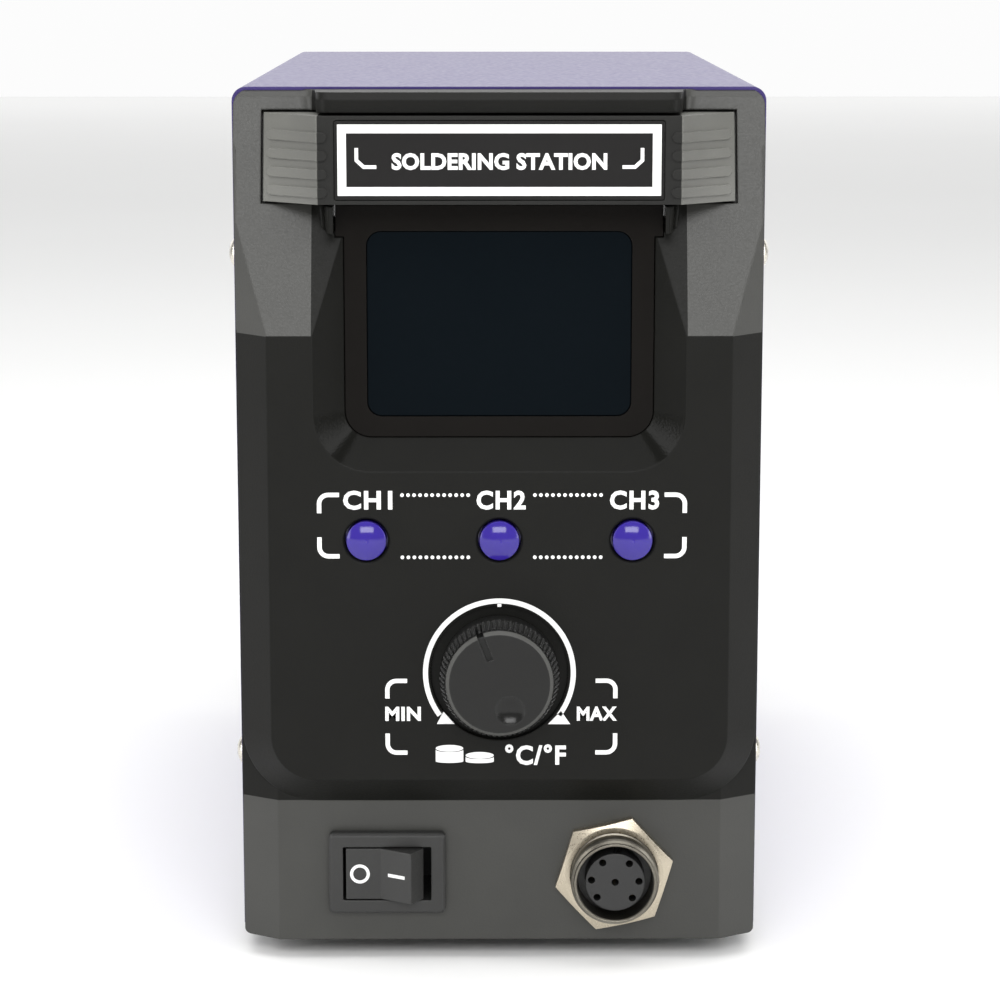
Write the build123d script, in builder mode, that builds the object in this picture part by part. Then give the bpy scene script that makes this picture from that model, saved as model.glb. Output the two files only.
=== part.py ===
from build123d import *
import os
from math import asin, atan, cos, degrees, radians, sin

# Desk-top soldering station: a moulded front bezel and a folded steel cover around a steel base.
# Frame: X across (right of the front view is +X), Y from front to back, Z up, origin on the desk
# under the middle of the whole station. Millimetres. Two words are used throughout:
#   depth  = distance behind the flat front face of the bezel's raised pad (negative is in front)
#   height = distance above the bezel's lower edge

os.makedirs("parts", exist_ok=True)

# ---- overall sizes ----
cover_half = 46.8            # half the outside width of the steel cover
cover_height = 153.3         # top of the cover
cover_front = 13.0           # depth of the cover's front edge
cover_rear = 181.7           # depth of the cover's rear edge
cover_sheet = 0.8
cover_bend = 2.5             # outside radius of the cover's two bends
cover_low = 0.6              # lower edge of the cover's sides
base_sheet = 1.2             # steel of the base and of the rear panel
foot_height = 4.0
fit_gap = 0.3                # clearance between pieces that only have to pass each other
snug_gap = 0.15              # clearance of a piece set into a seat
running_gap = 0.05           # radial clearance of a shaft in its bearing
screw_radius = 1.5           # M3 and self-tapping screws
pilot_radius = screw_radius + 0.02
pass_radius = screw_radius + 0.2

# ---- front bezel ----
bezel_half = cover_half - cover_sheet - fit_gap      # the skirt inside the cover
face_half = cover_half - 0.4         # the part that shows in front of the cover
bezel_height = cover_height - 0.4
top_bevel = 1.2              # along the front of its upper edge
bezel_corner = 2.8
bezel_rear = 28.0            # depth of the skirt's rear edge
bezel_wall = 2.3
skirt_height = cover_height - cover_sheet - fit_gap
panel_depth = 5.5            # lower panel, and how far the pad stands in front of it
panel_wall = 2.5
column_half = bezel_half - 5.9       # where the lower panel's corner chamfers start
column_depth = 3.7
pad_half = bezel_half - 5.3
pad_low = 31.6
pad_corner = 8.0
pad_wall = 2.5
crease_height = bezel_height - 41.9  # above it the bezel's arms lean back
lean_slope = 0.28
hood_half = 28.6             # hood over the screen, between the leaning arms
hood_low = bezel_height - 24.2
hood_draft = 0.55

# ---- screen ----
recess_half = 32.4
recess_low = 87.2
recess_corner = 10.0
recess_depth = 5.0
recess_run = 5.3             # how far the sloped walls come in over that depth
window_half = 23.15
window_low = recess_low + 9.0
window_high = hood_low + 0.1
window_corner = 2.6
surround_face = 1.5
surround_flange = 1.2
lens_flange = 1.6
lcd_glass = 2.6

# ---- name bar ----
bar_half = pad_half + 0.6
bar_low = bezel_height - 19.0
bar_high = bar_low + 15.1
bar_proud = 1.3              # how far its middle stands in front of the pad
bar_thick = 2.2              # at the outer ends of its grips
bar_crease = 31.3            # where the middle turns into the two grips
bar_gap = 0.45
rib_proud = 0.55
rib_width = 1.7
rib_pitch = 3.13
rib_count = 4
rib_inner = 29.5
rib_outer = bar_half - 0.6
label_half = 28.15
label_high = 13.4
label_thick = 0.4
label_seat = 0.3

# ---- channel buttons ----
button_pitch = 23.3
button_height = 75.0
button_radius = 3.45
button_hole = 3.8
button_proud = 1.5
button_travel = 0.5
button_flange = 4.8
stem_radius = 2.0
plunger_radius = 1.7

# ---- temperature knob and potentiometer ----
knob_height = 51.1
knob_base_radius = 10.27
knob_cap_radius = 9.4
knob_face_radius = 8.8
knob_front = -7.8            # depth of the knob's face
knob_angle = 111.5           # where its pointer stands, from +X towards +Z
dimple_angle = knob_angle - 180.1
well_radius = knob_base_radius + 1.93
well_depth = 1.2
shaft_radius = 3.0
bushing_radius = 3.5
bushing_front = -3.2
pot_radius = 8.3
pot_shoulder = 5.0
pot_front = 6.5

# ---- boards behind the bezel ----
board_depth = 16.0
board_thick = 1.6
board_half = 36.0
board_low = 37.0
board_high = bar_low - 4.9
boss_radius = 2.75
board_screw_reach = 6.0      # how far the board's screws go into their bosses
boss_x = 33.0
boss_heights = (board_low + 5.0, board_high - 5.0)
tact_size = 6.0
tact_high = 3.5

# ---- mains switch ----
rocker_x = -20.2
rocker_height = 13.0
rocker_width = 21.0
rocker_high = 15.0
rocker_rim = 2.0
rocker_opening = (15.9, 10.0)
rocker_body = (18.6, 12.6)
rocker_body_depth = 14.5
rocker_pivot = 4.0           # depth of the pivot behind the switch's front face
rocker_tilt = 15.0           # each way from level
rocker_face = 6.3            # length of each half of the rocker's face
rocker_pin = 1.2

# ---- handpiece socket ----
socket_x = 20.7
socket_height = 12.6
barrel_radius = 7.9
barrel_front = -1.2
barrel_bore = 6.8
groove_radius = 7.45         # thread run-out in front of the nut
groove_wide = 0.7
nut_flats = 18.8
nut_thick = 1.9
nut_turn = 12.8
core_radius = 5.3
contact_circle = 4.27
contact_radius = 0.65
contact_angles = (2.0, 53.7, 122.0, 174.6, 221.0, 316.5)
key_angle = 85.0

# ---- cover screws, base and feet ----
cover_screw_heights = (32.0, 123.7)
cover_screw_depths = (cover_front + 5.5, cover_rear - 7.2)
head_radius = 2.6
head_high = 1.3
base_half = cover_half - cover_sheet - fit_gap
base_flange = 12.0
panel_rear = cover_rear - 1.0        # outer face of the rear panel
base_rear = panel_rear - 1.5
foot_radius = 6.0
foot_x = 36.0
foot_depths = (38.0, base_rear - 11.2)
base_screw_x = 22.0
tongue_half = 30.0

# ---- rear panel and mains inlet ----
panel_flange = 11.0
inlet_height = 31.0
inlet_flange = (50.0, 37.0)
inlet_flange_thick = 3.0
inlet_body = (28.0, 32.4)
inlet_body_depth = 26.0
inlet_inside = panel_rear - inlet_body_depth
inlet_screw_x = 20.0
inlet_cavity = (24.2, 16.6)
inlet_cavity_depth = 16.0
inlet_cavity_up = 5.9        # middle of the socket above the middle of the inlet
inlet_chamfer = 5.0
pin_spread = 7.0
pin_offset = 2.0
pin_size = (2.0, 4.0)
drawer_size = (22.2, 7.0)
drawer_down = 11.0
drawer_depth = 26.5
drawer_lip = 0.8
fuse_radius = 2.6
fuse_long = 20.0

# ---- transformer ----
core_wide = 66.0
core_high = 55.0
core_stack = 40.0
core_leg = 11.0
core_depth = 66.0            # depth of the stack's middle
coil_build = 9.5
bobbin_wall = 1.2
strap_sheet = 1.2
strap_width = 24.0
strap_foot = 8.6

# ---- control board ----
power_half = 37.0
power_rear = inlet_inside - 5.7
power_front = power_rear - 49.0
standoff_high = 8.0
standoff_radius = 3.0
standoff_inset = 4.0
sink_size = (46.0, 14.0, 26.0)
ribbon_wide = 16.0
ribbon_thick = 0.9
ribbon_height = 66.0
ribbon_drop = power_front + 6.0
ribbon_bend = 8.0

# ---- worked out from the sizes above ----
inlet_face = panel_rear + inlet_flange_thick
station_front = knob_front
station_rear = inlet_face + drawer_lip
pad_y = -(station_front + station_rear) / 2
rocker_front = panel_depth - rocker_rim
panel_inside = panel_depth + panel_wall
surround_rear = panel_inside + surround_flange
board_rear = board_depth + board_thick
power_top = base_sheet + standoff_high + board_thick


def lean_depth(height):
    """Depth of the leaning arms' face at a height."""
    return lean_slope * (height - crease_height)


def back(depth):
    """Y of a depth."""
    return pad_y + depth


def up(height):
    """Z of a height."""
    return foot_height + height


def front_plane(depth):
    """Plane across the station at a depth, facing forwards; its axes are X and height."""
    return Plane(origin=(0, back(depth), foot_height), x_dir=(1, 0, 0), z_dir=(0, -1, 0))


def side_plane(x=0.0):
    """Plane along the station, facing +X; its axes are depth and height."""
    return Plane(origin=(x, pad_y, foot_height), x_dir=(0, 1, 0), z_dir=(1, 0, 0))


def level(height):
    """Level plane at a height; its axes are X and depth."""
    return Plane(origin=(0, pad_y, up(height)), x_dir=(1, 0, 0), z_dir=(0, 0, 1))


def block(xs, depths, heights, mode=Mode.ADD):
    """Square block between two X, two depths and two heights."""
    middle = (sum(xs) / 2, back(sum(depths) / 2), up(sum(heights) / 2))
    with Locations(middle):
        Box(xs[1] - xs[0], depths[1] - depths[0], heights[1] - heights[0], mode=mode)


def rod(radius, x, height, depths, mode=Mode.ADD):
    """Round bar from front to back."""
    with BuildSketch(front_plane(depths[1])) as section:
        with Locations((x, height)):
            Circle(radius)
    extrude(section.sketch, amount=depths[1] - depths[0], mode=mode)


def post(radius, x, depth, heights, mode=Mode.ADD):
    """Round bar standing upright."""
    with BuildSketch(level(heights[0])) as section:
        with Locations((x, depth)):
            Circle(radius)
    extrude(section.sketch, amount=heights[1] - heights[0], mode=mode)


def cross_rod(radius, xs, depth, height, mode=Mode.ADD):
    """Round bar across the station."""
    with BuildSketch(side_plane(xs[0])) as section:
        with Locations((depth, height)):
            Circle(radius)
    extrude(section.sketch, amount=xs[1] - xs[0], mode=mode)


def plate(size, corner, x, height, depths, mode=Mode.ADD):
    """Plate with rounded corners that faces the front."""
    with BuildSketch(front_plane(depths[1])) as outline:
        with Locations((x, height)):
            RectangleRounded(size[0], size[1], corner)
    extrude(outline.sketch, amount=depths[1] - depths[0], mode=mode)


def side_profile(points, half, mode=Mode.ADD):
    """Prism across the station from an outline of depths and heights."""
    with BuildSketch(side_plane(-half)) as outline:
        with BuildLine():
            Polyline(*points, close=True)
        make_face()
    extrude(outline.sketch, amount=2 * half, mode=mode)


def write(part, name):
    """Label a finished piece and write its file."""
    part.label = name
    export_step(part, f"parts/{name}.step")


# =====================================================================================
# Front bezel
# =====================================================================================

def bezel_outline(half, top, corner, low_corner):
    """Face of the bezel: square sides, two upper and two lower corners rounded."""
    with BuildSketch(front_plane(bezel_rear)) as outline:
        with Locations((0, top / 2)):
            Rectangle(2 * half, top)
        fillet(outline.vertices().group_by(Axis.Y)[-1], corner)
        fillet(outline.vertices().group_by(Axis.Y)[0], low_corner)
    return outline.sketch


def hood_section(height, further=0.0):
    """Level outline of the space in front of the hood and the leaning arms, moved further back."""
    foot = hood_half + hood_draft * lean_depth(height)
    edge = face_half + 5
    ahead = -15
    front = further
    arm = lean_depth(height) + further
    with BuildSketch(level(height)) as section:
        with BuildLine():
            Polyline((-foot, arm), (-edge, arm), (-edge, ahead), (edge, ahead), (edge, arm), (foot, arm))
            Spline((foot, arm), (hood_half, front), tangents=((-1, 0), (-1, 0)))
            Line((hood_half, front), (-hood_half, front))
            Spline((-hood_half, front), (-foot, arm), tangents=((-1, 0), (-1, 0)))
        make_face()
    return section.sketch


# space in front of the hood, from just below its lower edge to above the bezel
with BuildPart() as hood_space:
    loft([hood_section(hood_low - 2), hood_section(bezel_height + 1)], ruled=True)

# space over the bevelled upper edge
with BuildPart() as bevel_space:
    bevel_start = hood_section(bezel_height - top_bevel - 0.2, -0.2)
    bevel_end = hood_section(bezel_height + 0.5, top_bevel + 0.5)
    loft([bevel_start, bevel_end], ruled=True)

# space in front of the leaning arms below the name bar; a quarter curve rounds off the hood
with BuildPart() as arm_space:
    arm_top = bar_low
    ahead = -15
    side_profile(
        [(ahead, crease_height), (0, crease_height), (lean_depth(arm_top), arm_top), (ahead, arm_top)],
        face_half + 5,
    )
    with BuildSketch(front_plane(20)):
        hood_foot = hood_half + hood_draft * lean_depth(arm_top)
        for side in (-1, 1):
            with BuildLine():
                Spline(
                    (side * hood_half, hood_low),
                    (side * hood_foot, arm_top),
                    tangents=((side, 0), (0, 1)),
                )
                Polyline(
                    (side * hood_foot, arm_top),
                    (side * (face_half + 4), arm_top),
                    (side * (face_half + 4), crease_height),
                    (side * (window_half + 2), crease_height),
                    (side * (window_half + 2), hood_low),
                    (side * hood_half, hood_low),
                )
            make_face()
    extrude(amount=40, mode=Mode.INTERSECT)

# screen recess: sloped walls round the bottom and sides, straight ones between hood and bar
with BuildPart() as recess_space:
    recess_over = 20.0
    with BuildSketch(Plane(origin=(0, pad_y, foot_height), x_dir=(-1, 0, 0), z_dir=(0, 1, 0))) as mouth:
        with Locations((0, (recess_low + hood_low + recess_over) / 2)):
            Rectangle(2 * recess_half, hood_low + recess_over - recess_low)
        fillet(mouth.vertices().group_by(Axis.Y)[0], recess_corner)
    extrude(amount=recess_depth, taper=degrees(atan(recess_run / recess_depth)))
    block((-60, 60), (-5, 20), (hood_low, hood_low + 2 * recess_over), Mode.SUBTRACT)
    block((-hood_half, hood_half), (-5, recess_depth), (hood_low - 1, bar_low))

floor_half = recess_half - recess_run
floor_low = recess_low + recess_run
floor_corner = recess_corner - recess_run


def screen_floor(gap, depths, mode):
    """Outline of the recess's floor, a little wider between the hood's ends, as a prism."""
    with BuildSketch(front_plane(depths[1])) as outline:
        tall = hood_low - floor_low
        with Locations((0, floor_low + tall / 2)):
            Rectangle(2 * (floor_half - gap), tall - 2 * gap)
        fillet(outline.vertices().group_by(Axis.Y)[0], floor_corner - gap)
        with Locations((0, (hood_low - 1 + bar_low - bar_gap) / 2)):
            Rectangle(2 * (hood_half - gap), bar_low - bar_gap - hood_low + 1 - 2 * gap)
    extrude(outline.sketch, amount=depths[1] - depths[0], mode=mode)


# space that the cover takes round the bezel's skirt
with BuildPart() as cover_space:
    block((-2 * face_half, 2 * face_half), (cover_front - fit_gap, bezel_rear + 1), (-5, bezel_height + 5))
    extrude(
        bezel_outline(bezel_half, skirt_height, cover_bend - cover_sheet + 0.2, 1.0),
        amount=bezel_rear - cover_front + 2,
        mode=Mode.SUBTRACT,
    )
    extrude(
        bezel_outline(bezel_half, skirt_height, cover_bend - cover_sheet + 0.2, 1.0),
        amount=-2,
        mode=Mode.SUBTRACT,
    )

with BuildPart() as front_bezel:
    # lower panel with its chamfered corner columns, as one upright prism down the whole height
    with BuildSketch(level(0)):
        with BuildLine():
            Polyline(
                (-column_half, panel_depth),
                (column_half, panel_depth),
                (face_half, panel_depth + column_depth),
                (face_half, bezel_rear),
                (-face_half, bezel_rear),
                (-face_half, panel_depth + column_depth),
                close=True,
            )
        make_face()
    extrude(amount=bezel_height)
    # raised pad with 45 degree drafted sides
    with BuildSketch(front_plane(panel_depth)) as pad:
        pad_top = bezel_height + 3 * panel_depth
        with Locations((0, (pad_low - panel_depth + pad_top) / 2)):
            Rectangle(2 * (pad_half + panel_depth), pad_top - pad_low + panel_depth)
        fillet(pad.vertices().group_by(Axis.Y)[0], pad_corner + panel_depth)
    extrude(amount=panel_depth, taper=45)
    extrude(pad.sketch, amount=-(column_depth + 1))
    face_outline = bezel_outline(face_half, bezel_height, bezel_corner, 1.0)
    extrude(face_outline, amount=bezel_rear + 5, mode=Mode.INTERSECT)
    # the hood and the leaning arms
    add(hood_space.part, mode=Mode.SUBTRACT)
    add(arm_space.part, mode=Mode.SUBTRACT)
    add(bevel_space.part, mode=Mode.SUBTRACT)
    # skirt that goes in under the cover
    add(cover_space.part, mode=Mode.SUBTRACT)
    # screen recess, then the pocket of the name bar with its leaning floor
    add(recess_space.part, mode=Mode.SUBTRACT)
    screen_floor(0, (recess_depth - 1, panel_inside + 1), Mode.SUBTRACT)
    pocket_low = bar_low - bar_gap
    pocket_high = bar_high + bar_gap
    side_profile(
        [
            (-5, pocket_low),
            (lean_depth(pocket_low) + bar_thick, pocket_low),
            (lean_depth(pocket_high) + bar_thick, pocket_high),
            (-5, pocket_high),
        ],
        bar_half + bar_gap,
        Mode.SUBTRACT,
    )
    # inside: behind the side draft, behind the panel, and behind the pad
    wall_offset = bar_thick + bezel_wall
    inner_top = skirt_height - bezel_wall
    side_start = 12.0

    def wall_height(depth):
        """Height at which the leaning inner face reaches a depth."""
        return crease_height + (depth - wall_offset) / lean_slope

    side_profile(
        [
            (side_start, bezel_wall),
            (side_start, wall_height(side_start)),
            (lean_depth(inner_top) + wall_offset, inner_top),
            (bezel_rear + 1, inner_top),
            (bezel_rear + 1, bezel_wall),
        ],
        bezel_half - bezel_wall,
        Mode.SUBTRACT,
    )
    side_profile(
        [
            (panel_inside, bezel_wall),
            (panel_inside, wall_height(panel_inside)),
            (side_start, wall_height(side_start)),
            (side_start, bezel_wall),
        ],
        column_half - 1,
        Mode.SUBTRACT,
    )
    block(
        (-pad_half + 4, pad_half - 4),
        (pad_wall, panel_inside),
        (pad_low + 3.4, recess_low - 3.2),
        Mode.SUBTRACT,
    )
    # room for the surround's flange and the display behind the screen
    block(
        (-floor_half - 3.5, floor_half + 3.5),
        (panel_inside, board_depth),
        (floor_low - 3, pocket_low),
        Mode.SUBTRACT,
    )
    # knob well, a thicker ring behind it for the bushing, and the bushing's hole
    rod(pot_shoulder + 2, 0, knob_height, (pad_wall, pad_wall + 1.5))
    rod(well_radius, 0, knob_height, (-1, well_depth), Mode.SUBTRACT)
    rod(bushing_radius + running_gap, 0, knob_height, (0, panel_inside), Mode.SUBTRACT)
    # button holes, slightly chamfered
    for x in (-button_pitch, 0, button_pitch):
        rod(button_hole, x, button_height, (-1, pad_wall + 1), Mode.SUBTRACT)
    mouths = front_bezel.edges().filter_by(GeomType.CIRCLE)
    mouths = mouths.filter_by(lambda edge: abs(edge.radius - button_hole) < 0.01)
    chamfer(mouths.group_by(Axis.Y)[0], 0.35)
    # seats of the mains switch and of the handpiece socket
    plate(
        (rocker_body[0] + 2 * snug_gap, rocker_body[1] + 2 * snug_gap),
        0.5,
        rocker_x,
        rocker_height,
        (panel_depth - 1, panel_inside + 1),
        Mode.SUBTRACT,
    )
    rod(barrel_radius + snug_gap, socket_x, socket_height, (panel_depth - 1, panel_inside + 1), Mode.SUBTRACT)
    # bosses for the front board
    for x in (-boss_x, boss_x):
        rod(boss_radius, x, boss_heights[0], (pad_wall, board_depth))
        rod(boss_radius, x, boss_heights[1], (panel_inside, board_depth))
        for height in boss_heights:
            rod(pilot_radius, x, height, (board_depth - board_screw_reach - 1, board_depth), Mode.SUBTRACT)
    # bosses and pilot holes for the two front cover screws on each side
    for side in (-1, 1):
        for height in cover_screw_heights:
            ends = sorted((side * (bezel_half - bezel_wall - 5), side * (bezel_half - 1)))
            cross_rod(3.4, ends, cover_screw_depths[0], height)
            ends = sorted((side * (bezel_half - bezel_wall - 5), side * (bezel_half + 1)))
            cross_rod(pilot_radius, ends, cover_screw_depths[0], height, Mode.SUBTRACT)
    # tongue that lies on the base, with two pilot holes
    block((-tongue_half, tongue_half), (bezel_rear - 3, bezel_rear + 12), (base_sheet, base_sheet + 3))
    for x in (-base_screw_x, base_screw_x):
        post(pilot_radius, x, bezel_rear + 6, (0, base_sheet + 4), Mode.SUBTRACT)
write(front_bezel.part, "front_bezel")

# =====================================================================================
# Name bar: a flat middle, and two grips that fall back to the arms, each with four ribs
# =====================================================================================


def bar_section(height, proud):
    """Level outline of the bar, its front moved forwards by proud."""
    rear = lean_depth(height) + bar_thick
    with BuildSketch(level(height)) as section:
        with BuildLine():
            Polyline(
                (-bar_half, rear),
                (-bar_half, lean_depth(height) - proud),
                (-bar_crease, -bar_proud - proud),
                (bar_crease, -bar_proud - proud),
                (bar_half, lean_depth(height) - proud),
                (bar_half, rear),
                close=True,
            )
        make_face()
    return section.sketch


with BuildPart() as bar_ribs:
    loft([bar_section(bar_low, rib_proud), bar_section(bar_high, rib_proud)], ruled=True)
    with BuildSketch(front_plane(30)):
        rib_long = rib_outer - rib_inner
        for side in (-1, 1):
            with Locations((side * (rib_inner + rib_long / 2), (bar_low + bar_high) / 2 - 0.8)):
                with GridLocations(0, rib_pitch, 1, rib_count):
                    SlotOverall(rib_long, rib_width)
    extrude(amount=60, mode=Mode.INTERSECT)

with BuildPart() as nameplate_bar:
    loft([bar_section(bar_low, 0), bar_section(bar_high, 0)], ruled=True)
    add(bar_ribs.part)
    plate(
        (2 * (label_half + snug_gap), label_high + 2 * snug_gap),
        0.4,
        0,
        (bar_low + bar_high) / 2,
        (-bar_proud - 3, -bar_proud + label_seat),
        Mode.SUBTRACT,
    )
write(nameplate_bar.part, "nameplate_bar")

with BuildPart() as name_label:
    plate(
        (2 * label_half, label_high),
        0.4,
        0,
        (bar_low + bar_high) / 2,
        (-bar_proud + label_seat - label_thick, -bar_proud + label_seat),
    )
write(name_label.part, "name_label")

# =====================================================================================
# Screen: glossy surround, clear lens and the display behind it
# =====================================================================================
window_middle = (window_low + window_high) / 2
window_tall = window_high - window_low
seat_wide = 2 * window_half + 4
seat_tall = window_tall + 4
surround_front = recess_depth - 0.1

with BuildPart() as screen_surround:
    screen_floor(snug_gap, (surround_front, panel_inside), Mode.ADD)
    plate(
        (2 * floor_half + 5, hood_low - floor_low + 5),
        3,
        0,
        (hood_low + floor_low) / 2 + 0.5,
        (panel_inside, surround_rear),
    )
    plate((2 * window_half, window_tall), window_corner, 0, window_middle, (0, 20), Mode.SUBTRACT)
    plate((seat_wide, seat_tall), 3, 0, window_middle, (surround_front + surround_face, 20), Mode.SUBTRACT)
write(screen_surround.part, "screen_surround")

with BuildPart() as display_lens:
    lens_rear = surround_front + surround_face + lens_flange
    plate(
        (2 * (window_half - snug_gap), window_tall - 2 * snug_gap),
        window_corner - snug_gap,
        0,
        window_middle,
        (surround_front + 0.25, lens_rear),
    )
    plate(
        (seat_wide - 2 * snug_gap, seat_tall - 2 * snug_gap),
        3 - snug_gap,
        0,
        window_middle,
        (surround_front + surround_face, lens_rear),
    )
write(display_lens.part, "display_lens")

with BuildPart() as lcd_panel:
    lcd_rear = surround_rear + lcd_glass
    plate((seat_wide + 3, seat_tall + 2), 0.5, 0, window_middle, (surround_rear, lcd_rear))
write(lcd_panel.part, "lcd_panel")

with BuildPart() as lcd_frame:
    plate((seat_wide + 5, seat_tall + 3), 1, 0, window_middle, (lcd_rear, board_depth))
    plate((seat_wide - 6, seat_tall - 8), 1, 0, window_middle, (lcd_rear + 1.5, board_depth), Mode.SUBTRACT)
write(lcd_frame.part, "lcd_frame")

# =====================================================================================
# Channel buttons: caps held by their flanges, plungers, and the tactile switches' housings
# =====================================================================================
button_xs = (-button_pitch, 0, button_pitch)
stem_end = board_depth - tact_high - button_travel - 0.5
flange_depth = pad_wall + fit_gap
button_rim = 0.4             # height of the cap's straight side in front of the pad
dome_rise = button_proud - button_rim
dome_radius = (button_radius**2 + dome_rise**2) / (2 * dome_rise)
dome_angle = asin(button_radius / dome_radius)

for number, button_x in enumerate(button_xs, start=1):
    with BuildPart() as button_cap:
        with BuildSketch(side_plane(button_x)):
            with BuildLine():
                Polyline(
                    (-button_proud, button_height),
                    (stem_end, button_height),
                    (stem_end, button_height + stem_radius),
                    (flange_depth + 1, button_height + stem_radius),
                    (flange_depth + 1, button_height + button_flange),
                    (flange_depth, button_height + button_flange),
                    (flange_depth, button_height + button_radius),
                    (-button_rim, button_height + button_radius),
                )
                ThreePointArc(
                    (-button_rim, button_height + button_radius),
                    (
                        -button_proud + dome_radius * (1 - cos(dome_angle / 2)),
                        button_height + dome_radius * sin(dome_angle / 2),
                    ),
                    (-button_proud, button_height),
                )
            make_face()
        revolve(axis=Axis((button_x, 0, up(button_height)), (0, 1, 0)))
    write(button_cap.part, f"button_cap_{number}")

    with BuildPart() as switch_plunger:
        rod(plunger_radius, button_x, button_height, (stem_end, board_depth - tact_high + 1.3))
    write(switch_plunger.part, f"switch_plunger_{number}")

with BuildPart() as tact_switches:
    for button_x in button_xs:
        plate(
            (tact_size, tact_size), 0.4, button_x, button_height, (board_depth - tact_high, board_depth)
        )
        rod(
            plunger_radius + running_gap,
            button_x,
            button_height,
            (0, board_depth - tact_high + 1.3 + button_travel + 0.3),
            Mode.SUBTRACT,
        )
write(tact_switches.part, "tact_switches")

with BuildPart() as front_board:
    plate(
        (2 * board_half, board_high - board_low),
        1,
        0,
        (board_high + board_low) / 2,
        (board_depth, board_rear),
    )
    for x in (-boss_x, boss_x):
        for height in boss_heights:
            rod(pass_radius, x, height, (board_depth - 1, board_rear + 1), Mode.SUBTRACT)
write(front_board.part, "front_board")

with BuildPart() as front_board_screws:
    for x in (-boss_x, boss_x):
        for height in boss_heights:
            rod(head_radius, x, height, (board_rear, board_rear + head_high))
            rod(screw_radius, x, height, (board_depth - board_screw_reach, board_rear))
write(front_board_screws.part, "front_board_screws")

# =====================================================================================
# Temperature control: potentiometer, washer, nut, shaft and knob
# =====================================================================================
washer_thick = 0.5
pot_nut_thick = 2.0
knob_rear = well_depth - 0.5
knob_solid = bushing_front - 0.4

with BuildPart() as potentiometer:
    rod(pot_radius, 0, knob_height, (pot_front, board_depth))
    rod(pot_shoulder, 0, knob_height, (pad_wall + 1.5, pot_front))
    rod(bushing_radius, 0, knob_height, (bushing_front, pot_front))
    rod(shaft_radius + running_gap, 0, knob_height, (bushing_front, pot_front + 6.5), Mode.SUBTRACT)
write(potentiometer.part, "potentiometer")

with BuildPart() as pot_washer:
    rod(pot_shoulder + 0.8, 0, knob_height, (well_depth - washer_thick, well_depth))
    rod(bushing_radius + running_gap, 0, knob_height, (-5, 5), Mode.SUBTRACT)
write(pot_washer.part, "pot_washer")

with BuildPart() as pot_nut:
    nut_rear = well_depth - washer_thick
    with BuildSketch(front_plane(nut_rear)):
        with Locations((0, knob_height)):
            RegularPolygon(pot_shoulder, 6, major_radius=False)
            Circle(bushing_radius + running_gap, mode=Mode.SUBTRACT)
    extrude(amount=pot_nut_thick)
write(pot_nut.part, "pot_nut")

with BuildPart() as pot_shaft:
    rod(shaft_radius, 0, knob_height, (knob_front + 1.6, pot_front + 6))
write(pot_shaft.part, "pot_shaft")

knob_axis = Axis((0, 0, up(knob_height)), (0, 1, 0))
pointer_length = knob_base_radius + 1
pointer_start = 4.5
dimple_radius = 2.55
dimple_circle = 5.1
dimple_deep = 0.8
knob_top_edge = 0.6

with BuildPart() as control_knob:
    with BuildSketch(side_plane()):
        with BuildLine():
            Polyline(
                (knob_front, knob_height),
                (knob_front, knob_height + knob_face_radius),
                (knob_front + knob_top_edge, knob_height + knob_cap_radius),
                (knob_rear - 4.2, knob_height + knob_base_radius),
                (knob_rear, knob_height + knob_base_radius),
                (knob_rear, knob_height + knob_base_radius - 1.6),
                (knob_solid, knob_height + knob_base_radius - 1.8),
                (knob_solid, knob_height + shaft_radius + 0.01),
                (knob_front + 1.6, knob_height + shaft_radius + 0.01),
                (knob_front + 1.6, knob_height),
                close=True,
            )
        make_face()
    revolve(axis=knob_axis)
    # pointer slot, from its inner end out over the rim and down the side
    with BuildSketch(front_plane(knob_front + 0.6)):
        with Locations((0, knob_height)):
            with Locations(Rotation(0, 0, knob_angle)):
                with Locations(((pointer_start + pointer_length) / 2, 0)):
                    Rectangle(pointer_length - pointer_start, 1.2)
    extrude(amount=3, mode=Mode.SUBTRACT)
    with BuildSketch(front_plane(knob_rear - 4.2)):
        with Locations((0, knob_height)):
            with Locations(Rotation(0, 0, knob_angle)):
                with Locations(((knob_cap_radius - 0.6 + pointer_length) / 2, 0)):
                    Rectangle(pointer_length - knob_cap_radius + 0.6, 1.2)
    extrude(amount=10, mode=Mode.SUBTRACT)
    # finger dimple, a shallow bowl opposite the pointer
    bowl = (dimple_radius**2 + dimple_deep**2) / (2 * dimple_deep)
    dimple_x = dimple_circle * cos(radians(dimple_angle))
    dimple_z = knob_height + dimple_circle * sin(radians(dimple_angle))
    with Locations((dimple_x, back(knob_front + dimple_deep - bowl), up(dimple_z))):
        Sphere(bowl, mode=Mode.SUBTRACT)
write(control_knob.part, "control_knob")

# =====================================================================================
# Mains switch: frame, rocker turning on two pins, and terminals. It stands switched off.
# =====================================================================================
pivot_depth = rocker_front + rocker_pivot
frame_rear = panel_depth + rocker_body_depth

with BuildPart() as rocker_frame:
    plate((rocker_width, rocker_high), 1.0, rocker_x, rocker_height, (rocker_front, panel_depth))
    rim_edges = rocker_frame.faces().sort_by(Axis.Y)[0].edges()
    chamfer(rim_edges, 0.5)
    plate(rocker_body, 0.4, rocker_x, rocker_height, (panel_depth, frame_rear))
    plate(rocker_opening, 0.3, rocker_x, rocker_height, (rocker_front - 1, frame_rear - 2), Mode.SUBTRACT)
    post(
        rocker_pin + running_gap,
        rocker_x,
        pivot_depth,
        (rocker_height - rocker_opening[1] / 2 - 0.9, rocker_height + rocker_opening[1] / 2 + 0.9),
        Mode.SUBTRACT,
    )
write(rocker_frame.part, "rocker_frame")


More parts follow.
